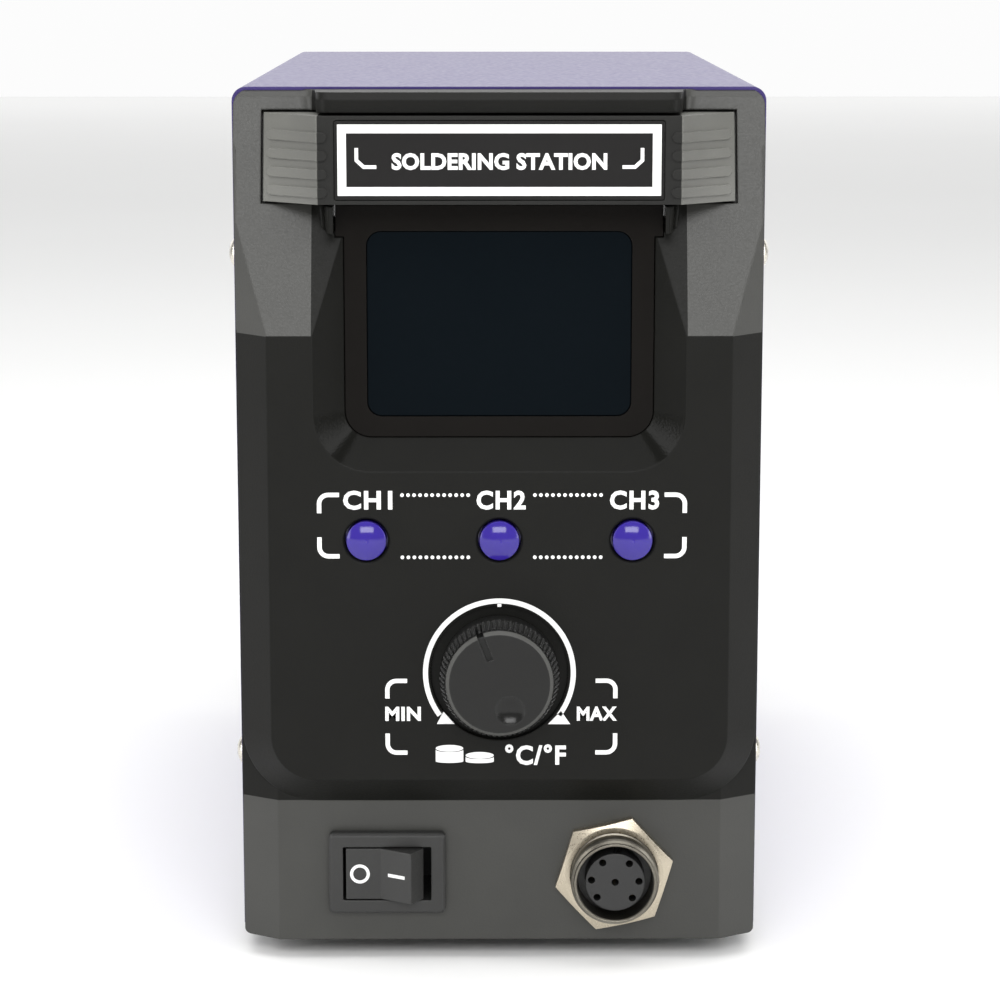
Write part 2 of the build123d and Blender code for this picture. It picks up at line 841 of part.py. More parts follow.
def rocker_point(radius, angle, side):
    """Point of the rocker's level section about its pivot, at rest, with the left half pressed."""
    turn = angle if side > 0 else 180 - angle
    swing = radians(turn + rocker_tilt)
    return (rocker_x + radius * cos(swing), pivot_depth - radius * sin(swing))


tip_x = rocker_face * cos(radians(rocker_tilt))
valley = rocker_pivot / cos(radians(rocker_tilt))
tip_y = valley + rocker_face * sin(radians(rocker_tilt))
tip_radius = (tip_x**2 + tip_y**2) ** 0.5
tip_angle = degrees(atan(tip_y / tip_x))
shoulder = (7.6, 15.8)       # radius and angle of the lower end of each end face
heel = (5.4, -20.0)
keel = (3.2, -90.0)
paddle_high = rocker_opening[1] - 2 * fit_gap

with BuildPart() as rocker_paddle:
    with BuildSketch(level(rocker_height - paddle_high / 2)):
        with BuildLine():
            Polyline(
                rocker_point(tip_radius, tip_angle, 1),
                rocker_point(*shoulder, 1),
                rocker_point(*heel, 1),
                rocker_point(*keel, 1),
                rocker_point(*heel, -1),
                rocker_point(*shoulder, -1),
                rocker_point(tip_radius, tip_angle, -1),
                rocker_point(valley, 90, 1),
                close=True,
            )
        make_face()
    extrude(amount=paddle_high)
    pin_reach = rocker_opening[1] / 2 + 0.7
    post(rocker_pin, rocker_x, pivot_depth, (rocker_height - pin_reach, rocker_height + pin_reach))
write(rocker_paddle.part, "rocker_paddle")

with BuildPart() as rocker_terminals:
    for offset in (-5, 2):
        blade = (rocker_x + offset - 0.4, rocker_x + offset + 0.4)
        block(blade, (frame_rear, frame_rear + 8), (rocker_height - 2.4, rocker_height + 2.4))
        cross_rod(0.8, (blade[0] - 1, blade[1] + 1), frame_rear + 5.5, rocker_height, Mode.SUBTRACT)
write(rocker_terminals.part, "rocker_terminals")

# =====================================================================================
# Handpiece socket: threaded shell with a flange inside the panel, nut, insert and contacts
# =====================================================================================
nut_front = panel_depth - nut_thick
insert_face = barrel_front + 1.0
insert_step = 4.0
insert_rear = 12.0
shell_rear = 17.0
shell_wall = 0.6

with BuildPart() as socket_shell:
    rod(barrel_radius, socket_x, socket_height, (barrel_front, panel_inside))
    chamfer(socket_shell.faces().sort_by(Axis.Y)[0].edges(), 0.35)
    rod(barrel_radius + 2, socket_x, socket_height, (panel_inside, panel_inside + 1.8))
    rod(barrel_bore + shell_wall, socket_x, socket_height, (panel_inside + 1.8, shell_rear))
    rod(barrel_bore, socket_x, socket_height, (-10, shell_rear + 1), Mode.SUBTRACT)
    # the thread runs out in a groove in front of the nut
    with BuildSketch(front_plane(nut_front)) as groove:
        with Locations((socket_x, socket_height)):
            Circle(barrel_radius + 1)
            Circle(groove_radius, mode=Mode.SUBTRACT)
    extrude(groove.sketch, amount=groove_wide, mode=Mode.SUBTRACT)
write(socket_shell.part, "socket_shell")

with BuildPart() as socket_nut:
    with BuildSketch(front_plane(panel_depth)):
        with Locations((socket_x, socket_height)):
            RegularPolygon(nut_flats / 2, 6, major_radius=False, rotation=nut_turn)
            Circle(barrel_radius + running_gap, mode=Mode.SUBTRACT)
    extrude(amount=nut_thick)
    # the six corners are turned off at 30 degrees
    with BuildSketch(side_plane(socket_x)):
        with BuildLine():
            Polyline(
                (panel_depth, socket_height),
                (panel_depth, socket_height + nut_flats * 0.6),
                (nut_front + 0.9, socket_height + nut_flats * 0.6),
                (nut_front, socket_height + nut_flats / 2 - 0.5),
                (nut_front, socket_height),
                close=True,
            )
        make_face()
    revolve(axis=Axis((socket_x, 0, up(socket_height)), (0, 1, 0)), mode=Mode.INTERSECT)
write(socket_nut.part, "socket_nut")

contact_places = [(socket_x, socket_height)]
for angle in contact_angles:
    contact_places.append(
        (
            socket_x + contact_circle * cos(radians(angle)),
            socket_height + contact_circle * sin(radians(angle)),
        )
    )

with BuildPart() as socket_insert:
    rod(barrel_bore - running_gap, socket_x, socket_height, (insert_step, insert_rear))
    rod(core_radius, socket_x, socket_height, (insert_face, insert_step))
    with BuildSketch(front_plane(insert_step)):
        with Locations((socket_x, socket_height)):
            with PolarLocations(core_radius, 1, start_angle=key_angle):
                RegularPolygon(1.2, 3, rotation=180)
    extrude(amount=insert_step, mode=Mode.SUBTRACT)
    for x, height in contact_places:
        rod(contact_radius, x, height, (insert_face - 1, insert_step + 3), Mode.SUBTRACT)
        rod(contact_radius + 0.2, x, height, (insert_step + 3, insert_rear + 1), Mode.SUBTRACT)
write(socket_insert.part, "socket_insert")

with BuildPart() as socket_contacts:
    for x, height in contact_places:
        rod(contact_radius + 0.18, x, height, (insert_step + 3.2, insert_rear + 4))
        rod(contact_radius - 0.1, x, height, (insert_rear + 1, insert_rear + 5), Mode.SUBTRACT)
write(socket_contacts.part, "socket_contacts")

# =====================================================================================
# Steel cover, folded from one sheet, with two rows of cooling slots in each side
# =====================================================================================
slot_size = (14.0, 2.4)
slot_pitch = 6.0
slot_count = 12

with BuildPart() as top_cover:
    with BuildSketch(front_plane(cover_rear)) as cover_section:
        with Locations((0, cover_height / 2)):
            Rectangle(2 * cover_half, cover_height)
        fillet(cover_section.vertices().group_by(Axis.Y)[-1], cover_bend)
    extrude(amount=cover_rear - cover_front)
    with BuildSketch(front_plane(cover_rear + 1)) as cover_inside:
        with Locations((0, (cover_height - cover_sheet) / 2)):
            Rectangle(2 * (cover_half - cover_sheet), cover_height - cover_sheet)
        fillet(cover_inside.vertices().group_by(Axis.Y)[-1], cover_bend - cover_sheet)
    extrude(amount=cover_rear - cover_front + 2, mode=Mode.SUBTRACT)
    block((-60, 60), (cover_front - 1, cover_rear + 1), (-1, cover_low), Mode.SUBTRACT)
    # screw holes and cooling slots go through both sides
    for height in cover_screw_heights:
        for depth in cover_screw_depths:
            cross_rod(pass_radius, (-60, 60), depth, height, Mode.SUBTRACT)
    with BuildSketch(side_plane(-60)):
        with Locations((110, 86)):
            with GridLocations(slot_pitch, 24, slot_count, 2):
                SlotOverall(slot_size[0], slot_size[1], rotation=90)
    extrude(amount=120, mode=Mode.SUBTRACT)
write(top_cover.part, "top_cover")

# =====================================================================================
# Steel base: flat bottom with two low side flanges
# =====================================================================================
core_middle = core_depth
strap_half = core_wide / 2 + strap_sheet
strap_screw_x = strap_half + strap_foot / 2
strap_screws = [(side * strap_screw_x, core_middle) for side in (-1, 1)]
standoffs = [
    (side * (power_half - standoff_inset), depth)
    for side in (-1, 1)
    for depth in (power_front + standoff_inset, power_rear - standoff_inset)
]
base_front = bezel_rear + fit_gap
feet = [(side * foot_x, depth) for side in (-1, 1) for depth in foot_depths]
base_screws_at = [
    (side * base_screw_x, depth) for side in (-1, 1) for depth in (bezel_rear + 6, base_rear - 5)
]

with BuildPart() as base_chassis:
    block((-base_half, base_half), (base_front, base_rear), (0, base_sheet))
    for side in (-1, 1):
        edges_x = sorted((side * base_half, side * (base_half - base_sheet)))
        block(edges_x, (base_front, base_rear), (0, base_flange))
    for x, depth in base_screws_at + feet:
        post(pass_radius, x, depth, (-1, base_sheet + 1), Mode.SUBTRACT)
    for x, depth in strap_screws:
        post(2.2, x, depth, (-1, base_sheet + 1), Mode.SUBTRACT)
write(base_chassis.part, "base_chassis")

with BuildPart() as base_screws:
    for x, depth in base_screws_at:
        post(head_radius, x, depth, (-head_high, 0))
        post(screw_radius, x, depth, (-head_high, base_sheet + 2.6))
write(base_screws.part, "base_screws")

with BuildPart() as rubber_feet:
    for x, depth in feet:
        with BuildSketch(level(-foot_height)) as foot:
            with Locations((x, depth)):
                Circle(foot_radius - 1)
        extrude(foot.sketch, amount=foot_height, taper=-14)
        post(pass_radius, x, depth, (-foot_height - 1, 1), Mode.SUBTRACT)
        post(head_radius + fit_gap, x, depth, (-foot_height - 1, -1.6), Mode.SUBTRACT)
write(rubber_feet.part, "rubber_feet")

with BuildPart() as foot_screws:
    for x, depth in feet:
        post(head_radius, x, depth, (-1.6 - head_high, -1.6))
        post(screw_radius, x, depth, (-1.6, base_sheet + 3))
write(foot_screws.part, "foot_screws")

# =====================================================================================
# Rear panel: a shallow steel tray with side flanges, a foot and cooling slots
# =====================================================================================
with BuildPart() as rear_panel:
    panel_low = base_sheet
    panel_high = cover_height - cover_sheet - fit_gap
    panel_front = panel_rear - base_sheet
    block((-base_half, base_half), (panel_front, panel_rear), (panel_low, panel_high))
    fillet(rear_panel.edges().filter_by(Axis.Y).group_by(Axis.Z)[-1], cover_bend - cover_sheet + 0.2)
    for side in (-1, 1):
        edges_x = sorted((side * base_half, side * (base_half - base_sheet)))
        flange_z = (base_flange + 1, panel_high - 3)
        block(edges_x, (panel_rear - panel_flange, panel_rear), flange_z)
    block(
        (-tongue_half, tongue_half),
        (panel_rear - panel_flange, panel_rear),
        (base_sheet, 2 * base_sheet),
    )
    for height in cover_screw_heights:
        cross_rod(pilot_radius, (-60, 60), cover_screw_depths[1], height, Mode.SUBTRACT)
    for x in (-base_screw_x, base_screw_x):
        post(pilot_radius, x, base_rear - 5, (0, 2 * base_sheet + 1), Mode.SUBTRACT)
    plate(
        (inlet_body[0] + 2 * fit_gap, inlet_body[1] + 2 * fit_gap),
        1,
        0,
        inlet_height,
        (panel_front - 1, panel_rear + 1),
        Mode.SUBTRACT,
    )
    for x in (-inlet_screw_x, inlet_screw_x):
        rod(pass_radius, x, inlet_height, (panel_front - 1, panel_rear + 1), Mode.SUBTRACT)
    with BuildSketch(front_plane(panel_rear + 1)):
        with Locations((0, 105)):
            with GridLocations(slot_pitch, 26, slot_count, 2):
                SlotOverall(20, 2.6, rotation=90)
    extrude(amount=base_sheet + 2, mode=Mode.SUBTRACT)
write(rear_panel.part, "rear_panel")

with BuildPart() as cover_screws:
    for side in (-1, 1):
        for height in cover_screw_heights:
            for depth in cover_screw_depths:
                head = sorted((side * cover_half, side * (cover_half + head_high)))
                shank = sorted((side * cover_half, side * (bezel_half - bezel_wall - 4)))
                cross_rod(head_radius, head, depth, height)
                cross_rod(screw_radius, shank, depth, height)
    rims = cover_screws.edges().filter_by(GeomType.CIRCLE)
    rims = rims.filter_by(lambda edge: abs(edge.radius - head_radius) < 0.01)
    outer = rims.filter_by(lambda edge: abs(edge.arc_center.X) > cover_half + head_high - 0.1)
    fillet(outer, 0.9)
write(cover_screws.part, "cover_screws")

# =====================================================================================
# Mains inlet with its fuse drawer
# =====================================================================================
cavity_middle = inlet_height + inlet_cavity_up
drawer_height = inlet_height - drawer_down

with BuildPart() as mains_inlet:
    plate(inlet_flange, 4, 0, inlet_height, (panel_rear, inlet_face))
    chamfer(mains_inlet.faces().sort_by(Axis.Y)[-1].edges(), 0.6)
    plate(inlet_body, 1, 0, inlet_height, (inlet_inside, panel_rear))
    # socket for the mains lead: the two corners beside the earth pin are cut off
    with BuildSketch(front_plane(inlet_face)) as cavity:
        with Locations((0, cavity_middle)):
            Rectangle(inlet_cavity[0], inlet_cavity[1])
        chamfer(cavity.vertices().group_by(Axis.Y)[-1], inlet_chamfer)
        fillet(cavity.vertices().group_by(Axis.Y)[0], 2)
    extrude(amount=inlet_cavity_depth, mode=Mode.SUBTRACT)
    plate(
        (drawer_size[0] + 2 * fit_gap, drawer_size[1] + 2 * fit_gap),
        0.5,
        0,
        drawer_height,
        (inlet_face - drawer_depth, inlet_face + 1),
        Mode.SUBTRACT,
    )
    pin_places = [
        (-pin_spread, cavity_middle - pin_offset),
        (pin_spread, cavity_middle - pin_offset),
        (0, cavity_middle + pin_offset),
    ]
    for x, height in pin_places:
        slot = (pin_size[0] + 0.04, pin_size[1] + 0.04)
        plate(slot, 0.3, x, height, (inlet_inside - 1, inlet_face - inlet_cavity_depth + 1), Mode.SUBTRACT)
    for x in (-inlet_screw_x, inlet_screw_x):
        rod(pass_radius, x, inlet_height, (panel_rear - 1, inlet_face + 1), Mode.SUBTRACT)
        with Locations(Location((x, back(inlet_face - 1.6), up(inlet_height)), (-90, 0, 0))):
            Cone(pass_radius, pass_radius + 1.7, 1.7, align=(Align.CENTER, Align.CENTER, Align.MIN),
                 mode=Mode.SUBTRACT)
write(mains_inlet.part, "mains_inlet")

with BuildPart() as inlet_pins:
    for x, height in pin_places:
        plate(pin_size, 0.3, x, height, (inlet_inside - 8, inlet_face - 2))
write(inlet_pins.part, "inlet_pins")

with BuildPart() as inlet_screws:
    for x in (-inlet_screw_x, inlet_screw_x):
        rod(screw_radius, x, inlet_height, (panel_front - 4, inlet_face - 0.2))
        with Locations(Location((x, back(inlet_face - 1.6), up(inlet_height)), (-90, 0, 0))):
            Cone(screw_radius, screw_radius + 1.4, 1.4, align=(Align.CENTER, Align.CENTER, Align.MIN))
write(inlet_screws.part, "inlet_screws")

with BuildPart() as inlet_nuts:
    with BuildSketch(front_plane(panel_front)):
        for x in (-inlet_screw_x, inlet_screw_x):
            with Locations((x, inlet_height)):
                RegularPolygon(2.75, 6, major_radius=False)
                Circle(pilot_radius, mode=Mode.SUBTRACT)
    extrude(amount=2.4)
write(inlet_nuts.part, "inlet_nuts")

fuse_depth = inlet_face - drawer_depth + 4.5
with BuildPart() as fuse_drawer:
    drawer_front = inlet_face - drawer_depth + 1
    plate(drawer_size, 0.4, 0, drawer_height, (drawer_front, inlet_face + drawer_lip))
    # trough for the fuse, a second one for a spare, and a finger notch in the lip
    trough_low = drawer_height - fuse_radius - 0.3
    trough_half = fuse_long / 2 + 0.1
    for depth in (fuse_depth, fuse_depth + 8):
        block(
            (-trough_half, trough_half),
            (depth - fuse_radius - 0.1, depth + fuse_radius + 0.1),
            (trough_low, drawer_height + drawer_size[1]),
            Mode.SUBTRACT,
        )
    block(
        (-4, 4),
        (inlet_face - 1.2, inlet_face + drawer_lip + 1),
        (drawer_height + 1.5, drawer_height + drawer_size[1]),
        Mode.SUBTRACT,
    )
write(fuse_drawer.part, "fuse_drawer")

with BuildPart() as fuse:
    cap_long = 5.0
    cross_rod(
        fuse_radius - 0.15,
        (-fuse_long / 2 + cap_long, fuse_long / 2 - cap_long),
        fuse_depth,
        drawer_height - 0.3,
    )
    for side in (-1, 1):
        ends = sorted((side * fuse_long / 2, side * (fuse_long / 2 - cap_long)))
        cross_rod(fuse_radius, ends, fuse_depth, drawer_height - 0.3)
write(fuse.part, "fuse")

# =====================================================================================
# Transformer: laminated core with two windows, bobbin, winding, strap and its screws
# =====================================================================================
core_low = base_sheet
core_top = core_low + core_high
stack = (core_middle - core_stack / 2, core_middle + core_stack / 2)
window_bottom = core_low + core_leg
window_top = core_top - core_leg

with BuildPart() as transformer_core:
    block((-core_wide / 2, core_wide / 2), stack, (core_low, core_top))
    for side in (-1, 1):
        xs = sorted((side * core_leg, side * 2 * core_leg))
        block(xs, (stack[0] - 1, stack[1] + 1), (window_bottom, window_top), Mode.SUBTRACT)
write(transformer_core.part, "transformer_core")

with BuildPart() as transformer_bobbin:
    tube_x = core_leg + snug_gap
    tube_y = core_stack / 2 + snug_gap
    flange_x = 2 * core_leg - fit_gap
    flange_y = core_stack / 2 + coil_build
    low = window_bottom + snug_gap
    high = window_top - snug_gap

    def bobbin_ring(half_x, half_y, heights, mode=Mode.ADD):
        """Block round the core's middle leg."""
        block((-half_x, half_x), (core_middle - half_y, core_middle + half_y), heights, mode)

    bobbin_ring(tube_x + bobbin_wall, tube_y + bobbin_wall, (low, high))
    bobbin_ring(flange_x, flange_y, (low, low + bobbin_wall))
    bobbin_ring(flange_x, flange_y, (high - bobbin_wall, high))
    bobbin_ring(tube_x, tube_y, (low - 1, high + 1), Mode.SUBTRACT)
write(transformer_bobbin.part, "transformer_bobbin")

with BuildPart() as transformer_winding:
    coil_x = flange_x - 0.5
    coil_y = flange_y - 0.8
    with BuildSketch(level(low + bobbin_wall)):
        with Locations((0, core_middle)):
            RectangleRounded(2 * coil_x, 2 * coil_y, 4)
            Rectangle(2 * (tube_x + bobbin_wall), 2 * (tube_y + bobbin_wall), mode=Mode.SUBTRACT)
    extrude(amount=high - low - 2 * bobbin_wall)
write(transformer_winding.part, "transformer_winding")

with BuildPart() as transformer_strap:
    with BuildSketch(front_plane(core_middle + strap_width / 2)):
        with BuildLine():
            Polyline(
                (-strap_half - strap_foot, base_sheet),
                (-strap_half + strap_sheet, base_sheet),
                (-strap_half + strap_sheet, core_top),
                (strap_half - strap_sheet, core_top),
                (strap_half - strap_sheet, base_sheet),
                (strap_half + strap_foot, base_sheet),
                (strap_half + strap_foot, base_sheet + strap_sheet),
                (strap_half, base_sheet + strap_sheet),
                (strap_half, core_top + strap_sheet),
                (-strap_half, core_top + strap_sheet),
                (-strap_half, base_sheet + strap_sheet),
                (-strap_half - strap_foot, base_sheet + strap_sheet),
                close=True,
            )
        make_face()
    extrude(amount=strap_width)
    for x, depth in strap_screws:
        post(2.2, x, depth, (0, 5), Mode.SUBTRACT)
write(transformer_strap.part, "transformer_strap")

with BuildPart() as transformer_screws:
    strap_top = base_sheet + strap_sheet
    for x, depth in strap_screws:
        post(3.4, x, depth, (strap_top, strap_top + 2.2))
        post(2.0, x, depth, (-2.0, strap_top))
        post(3.4, x, depth, (-2.2, 0))
write(transformer_screws.part, "transformer_screws")

# =====================================================================================
# Control board on four standoffs, with its parts and the ribbon to the front board
# =====================================================================================
with BuildPart() as board_standoffs:
    for x, depth in standoffs:
        post(standoff_radius, x, depth, (base_sheet, base_sheet + standoff_high))
        post(pilot_radius, x, depth, (base_sheet + 1.5, power_top), Mode.SUBTRACT)
write(board_standoffs.part, "board_standoffs")

with BuildPart() as control_board:
    block(
        (-power_half, power_half),
        (power_front, power_rear),
        (base_sheet + standoff_high, power_top),
    )
    for x, depth in standoffs:
        post(pass_radius, x, depth, (base_sheet, power_top + 1), Mode.SUBTRACT)
write(control_board.part, "control_board")

with BuildPart() as board_screws:
    for x, depth in standoffs:
        post(head_radius, x, depth, (power_top, power_top + head_high))
        post(screw_radius, x, depth, (base_sheet + 2.5, power_top))
write(board_screws.part, "board_screws")

sink_depth = power_rear - 14.0
with BuildPart() as heat_sink:
    sink_x = (-sink_size[0] / 2, sink_size[0] / 2)
    block(sink_x, (sink_depth, sink_depth + 3), (power_top, power_top + sink_size[2]))
    fin_count = 9
    for number in range(fin_count):
        fin_x = sink_x[0] + number * (sink_size[0] - 1.2) / (fin_count - 1)
        fin = (fin_x, fin_x + 1.2)
        fin_y = (sink_depth + 3, sink_depth + sink_size[1] - 3)
        block(fin, fin_y, (power_top, power_top + sink_size[2]))
write(heat_sink.part, "heat_sink")

with BuildPart() as power_triac:
    block((-5, 5), (sink_depth - 1.3, sink_depth), (power_top + 4, power_top + 20))
    block((-5, 5), (sink_depth - 4.5, sink_depth - 1.3), (power_top + 4, power_top + 13))
    for x in (-2.54, 0, 2.54):
        block((x - 0.4, x + 0.4), (sink_depth - 3, sink_depth - 2.4), (power_top, power_top + 4))
write(power_triac.part, "power_triac")

with BuildPart() as capacitors:
    for x, radius, tall in ((-22, 6.3, 20), (-7, 5.0, 16)):
        post(radius, x, power_front + 16, (power_top, power_top + tall))
    tops = capacitors.edges().filter_by(GeomType.CIRCLE).filter_by(
        lambda edge: edge.arc_center.Z > up(power_top + 10)
    )
    fillet(tops, 0.8)
write(capacitors.part, "capacitors")

with BuildPart() as terminal_block:
    ways = 4
    way_pitch = 5.08
    first_x = 10.0
    terminal_depth = (power_front + 12, power_front + 21)
    block((first_x, first_x + ways * way_pitch), terminal_depth, (power_top, power_top + 10))
    for number in range(ways):
        x = first_x + (number + 0.5) * way_pitch
        post(1.6, x, terminal_depth[0] + 5, (power_top + 7, power_top + 11), Mode.SUBTRACT)
        entry_x = (x - 1.7, x + 1.7)
        entry_y = (terminal_depth[0] - 1, terminal_depth[0] + 5)
        block(entry_x, entry_y, (power_top + 1.5, power_top + 5), Mode.SUBTRACT)
write(terminal_block.part, "terminal_block")

header_size = (20.0, 6.0)
header_high = 7.0
with BuildPart() as ribbon_headers:
    header_x = (-header_size[0] / 2, header_size[0] / 2)
    half_header = header_size[1] / 2
    # one stands on the back of the front board, the other on the control board
    block(
        header_x,
        (board_rear, board_rear + header_high),
        (ribbon_height - half_header, ribbon_height + half_header),
    )
    block(
        header_x,
        (ribbon_drop - half_header, ribbon_drop + half_header),
        (power_top, power_top + header_high),
    )
write(ribbon_headers.part, "ribbon_headers")

with BuildPart() as ribbon_cable:
    with BuildLine(side_plane()) as ribbon_path:
        FilletPolyline(
            (board_rear + header_high, ribbon_height),
            (ribbon_drop, ribbon_height),
            (ribbon_drop, power_top + header_high),
            radius=ribbon_bend,
        )
    with BuildSketch(front_plane(board_rear + header_high)):
        with Locations((0, ribbon_height)):
            Rectangle(ribbon_wide, ribbon_thick)
    sweep(path=ribbon_path.line)
write(ribbon_cable.part, "ribbon_cable")
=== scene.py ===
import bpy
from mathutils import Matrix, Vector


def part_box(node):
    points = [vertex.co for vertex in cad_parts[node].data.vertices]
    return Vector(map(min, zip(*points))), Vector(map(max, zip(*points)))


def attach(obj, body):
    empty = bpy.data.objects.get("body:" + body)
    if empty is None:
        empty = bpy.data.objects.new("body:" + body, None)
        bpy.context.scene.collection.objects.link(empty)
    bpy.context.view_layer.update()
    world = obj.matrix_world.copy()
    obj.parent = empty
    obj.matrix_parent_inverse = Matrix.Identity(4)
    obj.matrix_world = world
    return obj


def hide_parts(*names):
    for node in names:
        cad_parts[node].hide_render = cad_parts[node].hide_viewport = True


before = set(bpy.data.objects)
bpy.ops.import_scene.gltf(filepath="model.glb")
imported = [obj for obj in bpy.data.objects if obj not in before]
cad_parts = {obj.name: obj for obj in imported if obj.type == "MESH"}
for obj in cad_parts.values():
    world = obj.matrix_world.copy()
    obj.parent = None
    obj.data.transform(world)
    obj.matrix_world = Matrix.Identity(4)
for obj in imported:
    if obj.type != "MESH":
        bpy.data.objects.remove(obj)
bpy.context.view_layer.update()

import math
import bmesh
import bpy
from mathutils import Vector
from mathutils.bvhtree import BVHTree

# =====================================================================================
# Bench, light and camera. The station stands on a plain white bench top under one large
# soft light overhead, with a lower one in front, two upright ones and a white wall of light.
# =====================================================================================
bench_colour = (0.925, 0.925, 0.92, 1)
bench_pale = (0.95, 0.95, 0.945, 1)
bench_reach, bench_back = 6.0, 2.95
room_light = 0.38
room_seen = 0.975
eye = (-0.002, -0.5784, 0.1814)
eye_down = 9.989
eye_right = 0.246
lens = 102.886
lens_drop = -0.05


def node(tree, kind, inputs=None, **settings):
    """Adds a node; an input given another node's output is linked, anything else is its value."""
    made = tree.nodes.new(kind)
    for name, value in settings.items():
        setattr(made, name, value)
    for key, value in (inputs or {}).items():
        if isinstance(value, bpy.types.NodeSocket):
            tree.links.new(value, made.inputs[key])
        else:
            made.inputs[key].default_value = value
    return made


def soft_light(name, place, aim, size, power):
    """Rectangular soft light at a place, facing a point."""
    data = bpy.data.lights.new(name, "AREA")
    data.shape = "RECTANGLE"
    data.size, data.size_y = size
    data.energy = power
    lamp = bpy.data.objects.new(name, data)
    bpy.context.scene.collection.objects.link(lamp)
    lamp.location = place
    lamp.rotation_euler = (Vector(aim) - Vector(place)).to_track_quat("-Z", "Y").to_euler()


bench_mesh = bpy.data.meshes.new("bench")
corners = [
    (-bench_reach, -bench_reach, 0),
    (bench_reach, -bench_reach, 0),
    (bench_reach, bench_back, 0),
    (-bench_reach, bench_back, 0),
]
bench_mesh.from_pydata(corners, [], [(0, 1, 2, 3)])
bench = bpy.data.objects.new("bench", bench_mesh)
bpy.context.scene.collection.objects.link(bench)
bench_paint = bpy.data.materials.new("bench_paint")
bench_paint.use_nodes = True
tree = bench_paint.node_tree
coords = node(tree, "ShaderNodeTexCoord").outputs["Object"]
cloud = node(tree, "ShaderNodeTexNoise", {"Vector": coords, "Scale": 3.0})
tone = node(
    tree, "ShaderNodeMix", {0: cloud.outputs["Fac"], 6: bench_colour, 7: bench_pale}, data_type="RGBA"
)
bench_face = tree.nodes["Principled BSDF"]
bench_face.inputs["Roughness"].default_value = 0.8
bench_face.inputs["Specular IOR Level"].default_value = 0.2
tree.links.new(tone.outputs[2], bench_face.inputs["Base Color"])
bench_mesh.materials.append(bench_paint)

world = bpy.data.worlds.new("room")
bpy.context.scene.world = world
world.use_nodes = True
tree = world.node_tree
tree.nodes.clear()
seen = node(tree, "ShaderNodeLightPath").outputs["Is Camera Ray"]
strength = node(tree, "ShaderNodeMapRange", {"Value": seen, "To Min": room_light, "To Max": room_seen})
room = node(tree, "ShaderNodeBackground", {"Color": (1, 1, 1, 1), "Strength": strength.outputs[0]})
node(tree, "ShaderNodeOutputWorld", {"Surface": room.outputs[0]})

soft_light("overhead", (0, -0.15, 1.15), (0, 0.05, 0.1), (1.3, 1.0), 9.0)
soft_light("front_high", (0, -1.35, 0.85), (0, -0.05, 0.12), (1.2, 0.5), 13.0)
soft_light("side_left", (-1.0, -0.45, 0.45), (0, -0.05, 0.1), (0.35, 0.9), 5.0)
soft_light("side_right", (1.0, -0.45, 0.45), (0, -0.05, 0.1), (0.35, 0.9), 5.0)
soft_light("wall", (0, 3.0, 1.22), (0, 0, 1.22), (7.0, 2.4), 60.0)

camera_data = bpy.data.cameras.new("camera")
camera_data.lens = lens
camera_data.shift_y = lens_drop
camera_data.clip_start = 0.01
camera = bpy.data.objects.new("camera", camera_data)
bpy.context.scene.collection.objects.link(camera)
camera.location = eye
camera.rotation_euler = (math.radians(90 - eye_down), 0, math.radians(-eye_right))
bpy.context.scene.camera = camera
bpy.context.scene.view_settings.view_transform = "Standard"

# =====================================================================================
# Steel base and rubber feet. A flat tray of black coated sheet with two low flanges; four
# turned rubber feet and the base's own screws go in from underneath.
# =====================================================================================


def group_sockets(group, ins, outs):
    """Gives a shader node group its named inputs and outputs."""
    for name, kind, value in ins:
        socket = group.interface.new_socket(name, in_out="INPUT", socket_type=kind)
        socket.default_value = value
    for name, kind in outs:
        group.interface.new_socket(name, in_out="OUTPUT", socket_type=kind)
    return group.nodes.new("NodeGroupInput"), group.nodes.new("NodeGroupOutput")


# moulded, coated or rolled surface: a pebbled or fine grain, slow mottling, rounded edges, and a mask that
# lightens the edges as wear and as a painted highlight
surface_group = bpy.data.node_groups.new("worked_surface", "ShaderNodeTree")
given, result = group_sockets(
    surface_group,
    [
        ("Grain Size", "NodeSocketFloat", 0.0004),
        ("Grain Depth", "NodeSocketFloat", 0.00002),
        ("Edge Radius", "NodeSocketFloat", 0.0003),
        ("Stretch", "NodeSocketVector", (1, 1, 1)),
    ],
    [
        ("Normal", "NodeSocketVector"),
        ("Grain", "NodeSocketFloat"),
        ("Mottle", "NodeSocketFloat"),
        ("Edge", "NodeSocketFloat"),
    ],
)
tree = surface_group
coords = node(tree, "ShaderNodeTexCoord").outputs["Object"]
per_metre = node(tree, "ShaderNodeMath", {0: 1.0, 1: given.outputs["Grain Size"]}, operation="DIVIDE")
laid = node(tree, "ShaderNodeVectorMath", {0: coords, 1: given.outputs["Stretch"]}, operation="MULTIPLY")
pebbles = node(
    tree,
    "ShaderNodeTexVoronoi",
    {"Vector": laid.outputs[0], "Scale": per_metre.outputs[0]},
    feature="SMOOTH_F1",
)
speckle = node(
    tree,
    "ShaderNodeTexNoise",
    {"Vector": laid.outputs[0], "Scale": per_metre.outputs[0], "Detail": 3.0, "Roughness": 0.6},
)
grain = node(
    tree, "ShaderNodeMath", {0: pebbles.outputs["Distance"], 1: speckle.outputs["Fac"]}, operation="ADD"
)
mottle = node(tree, "ShaderNodeTexNoise", {"Vector": coords, "Scale": 90.0, "Detail": 2.0})
rounded = node(tree, "ShaderNodeBevel", {"Radius": given.outputs["Edge Radius"]}, samples=4)
bumped = node(
    tree,
    "ShaderNodeBump",
    {"Height": grain.outputs[0], "Distance": given.outputs["Grain Depth"], "Normal": rounded.outputs[0]},
)
facing = node(tree, "ShaderNodeNewGeometry").outputs["Normal"]
turned = node(tree, "ShaderNodeVectorMath", {0: rounded.outputs[0], 1: facing}, operation="DOT_PRODUCT")
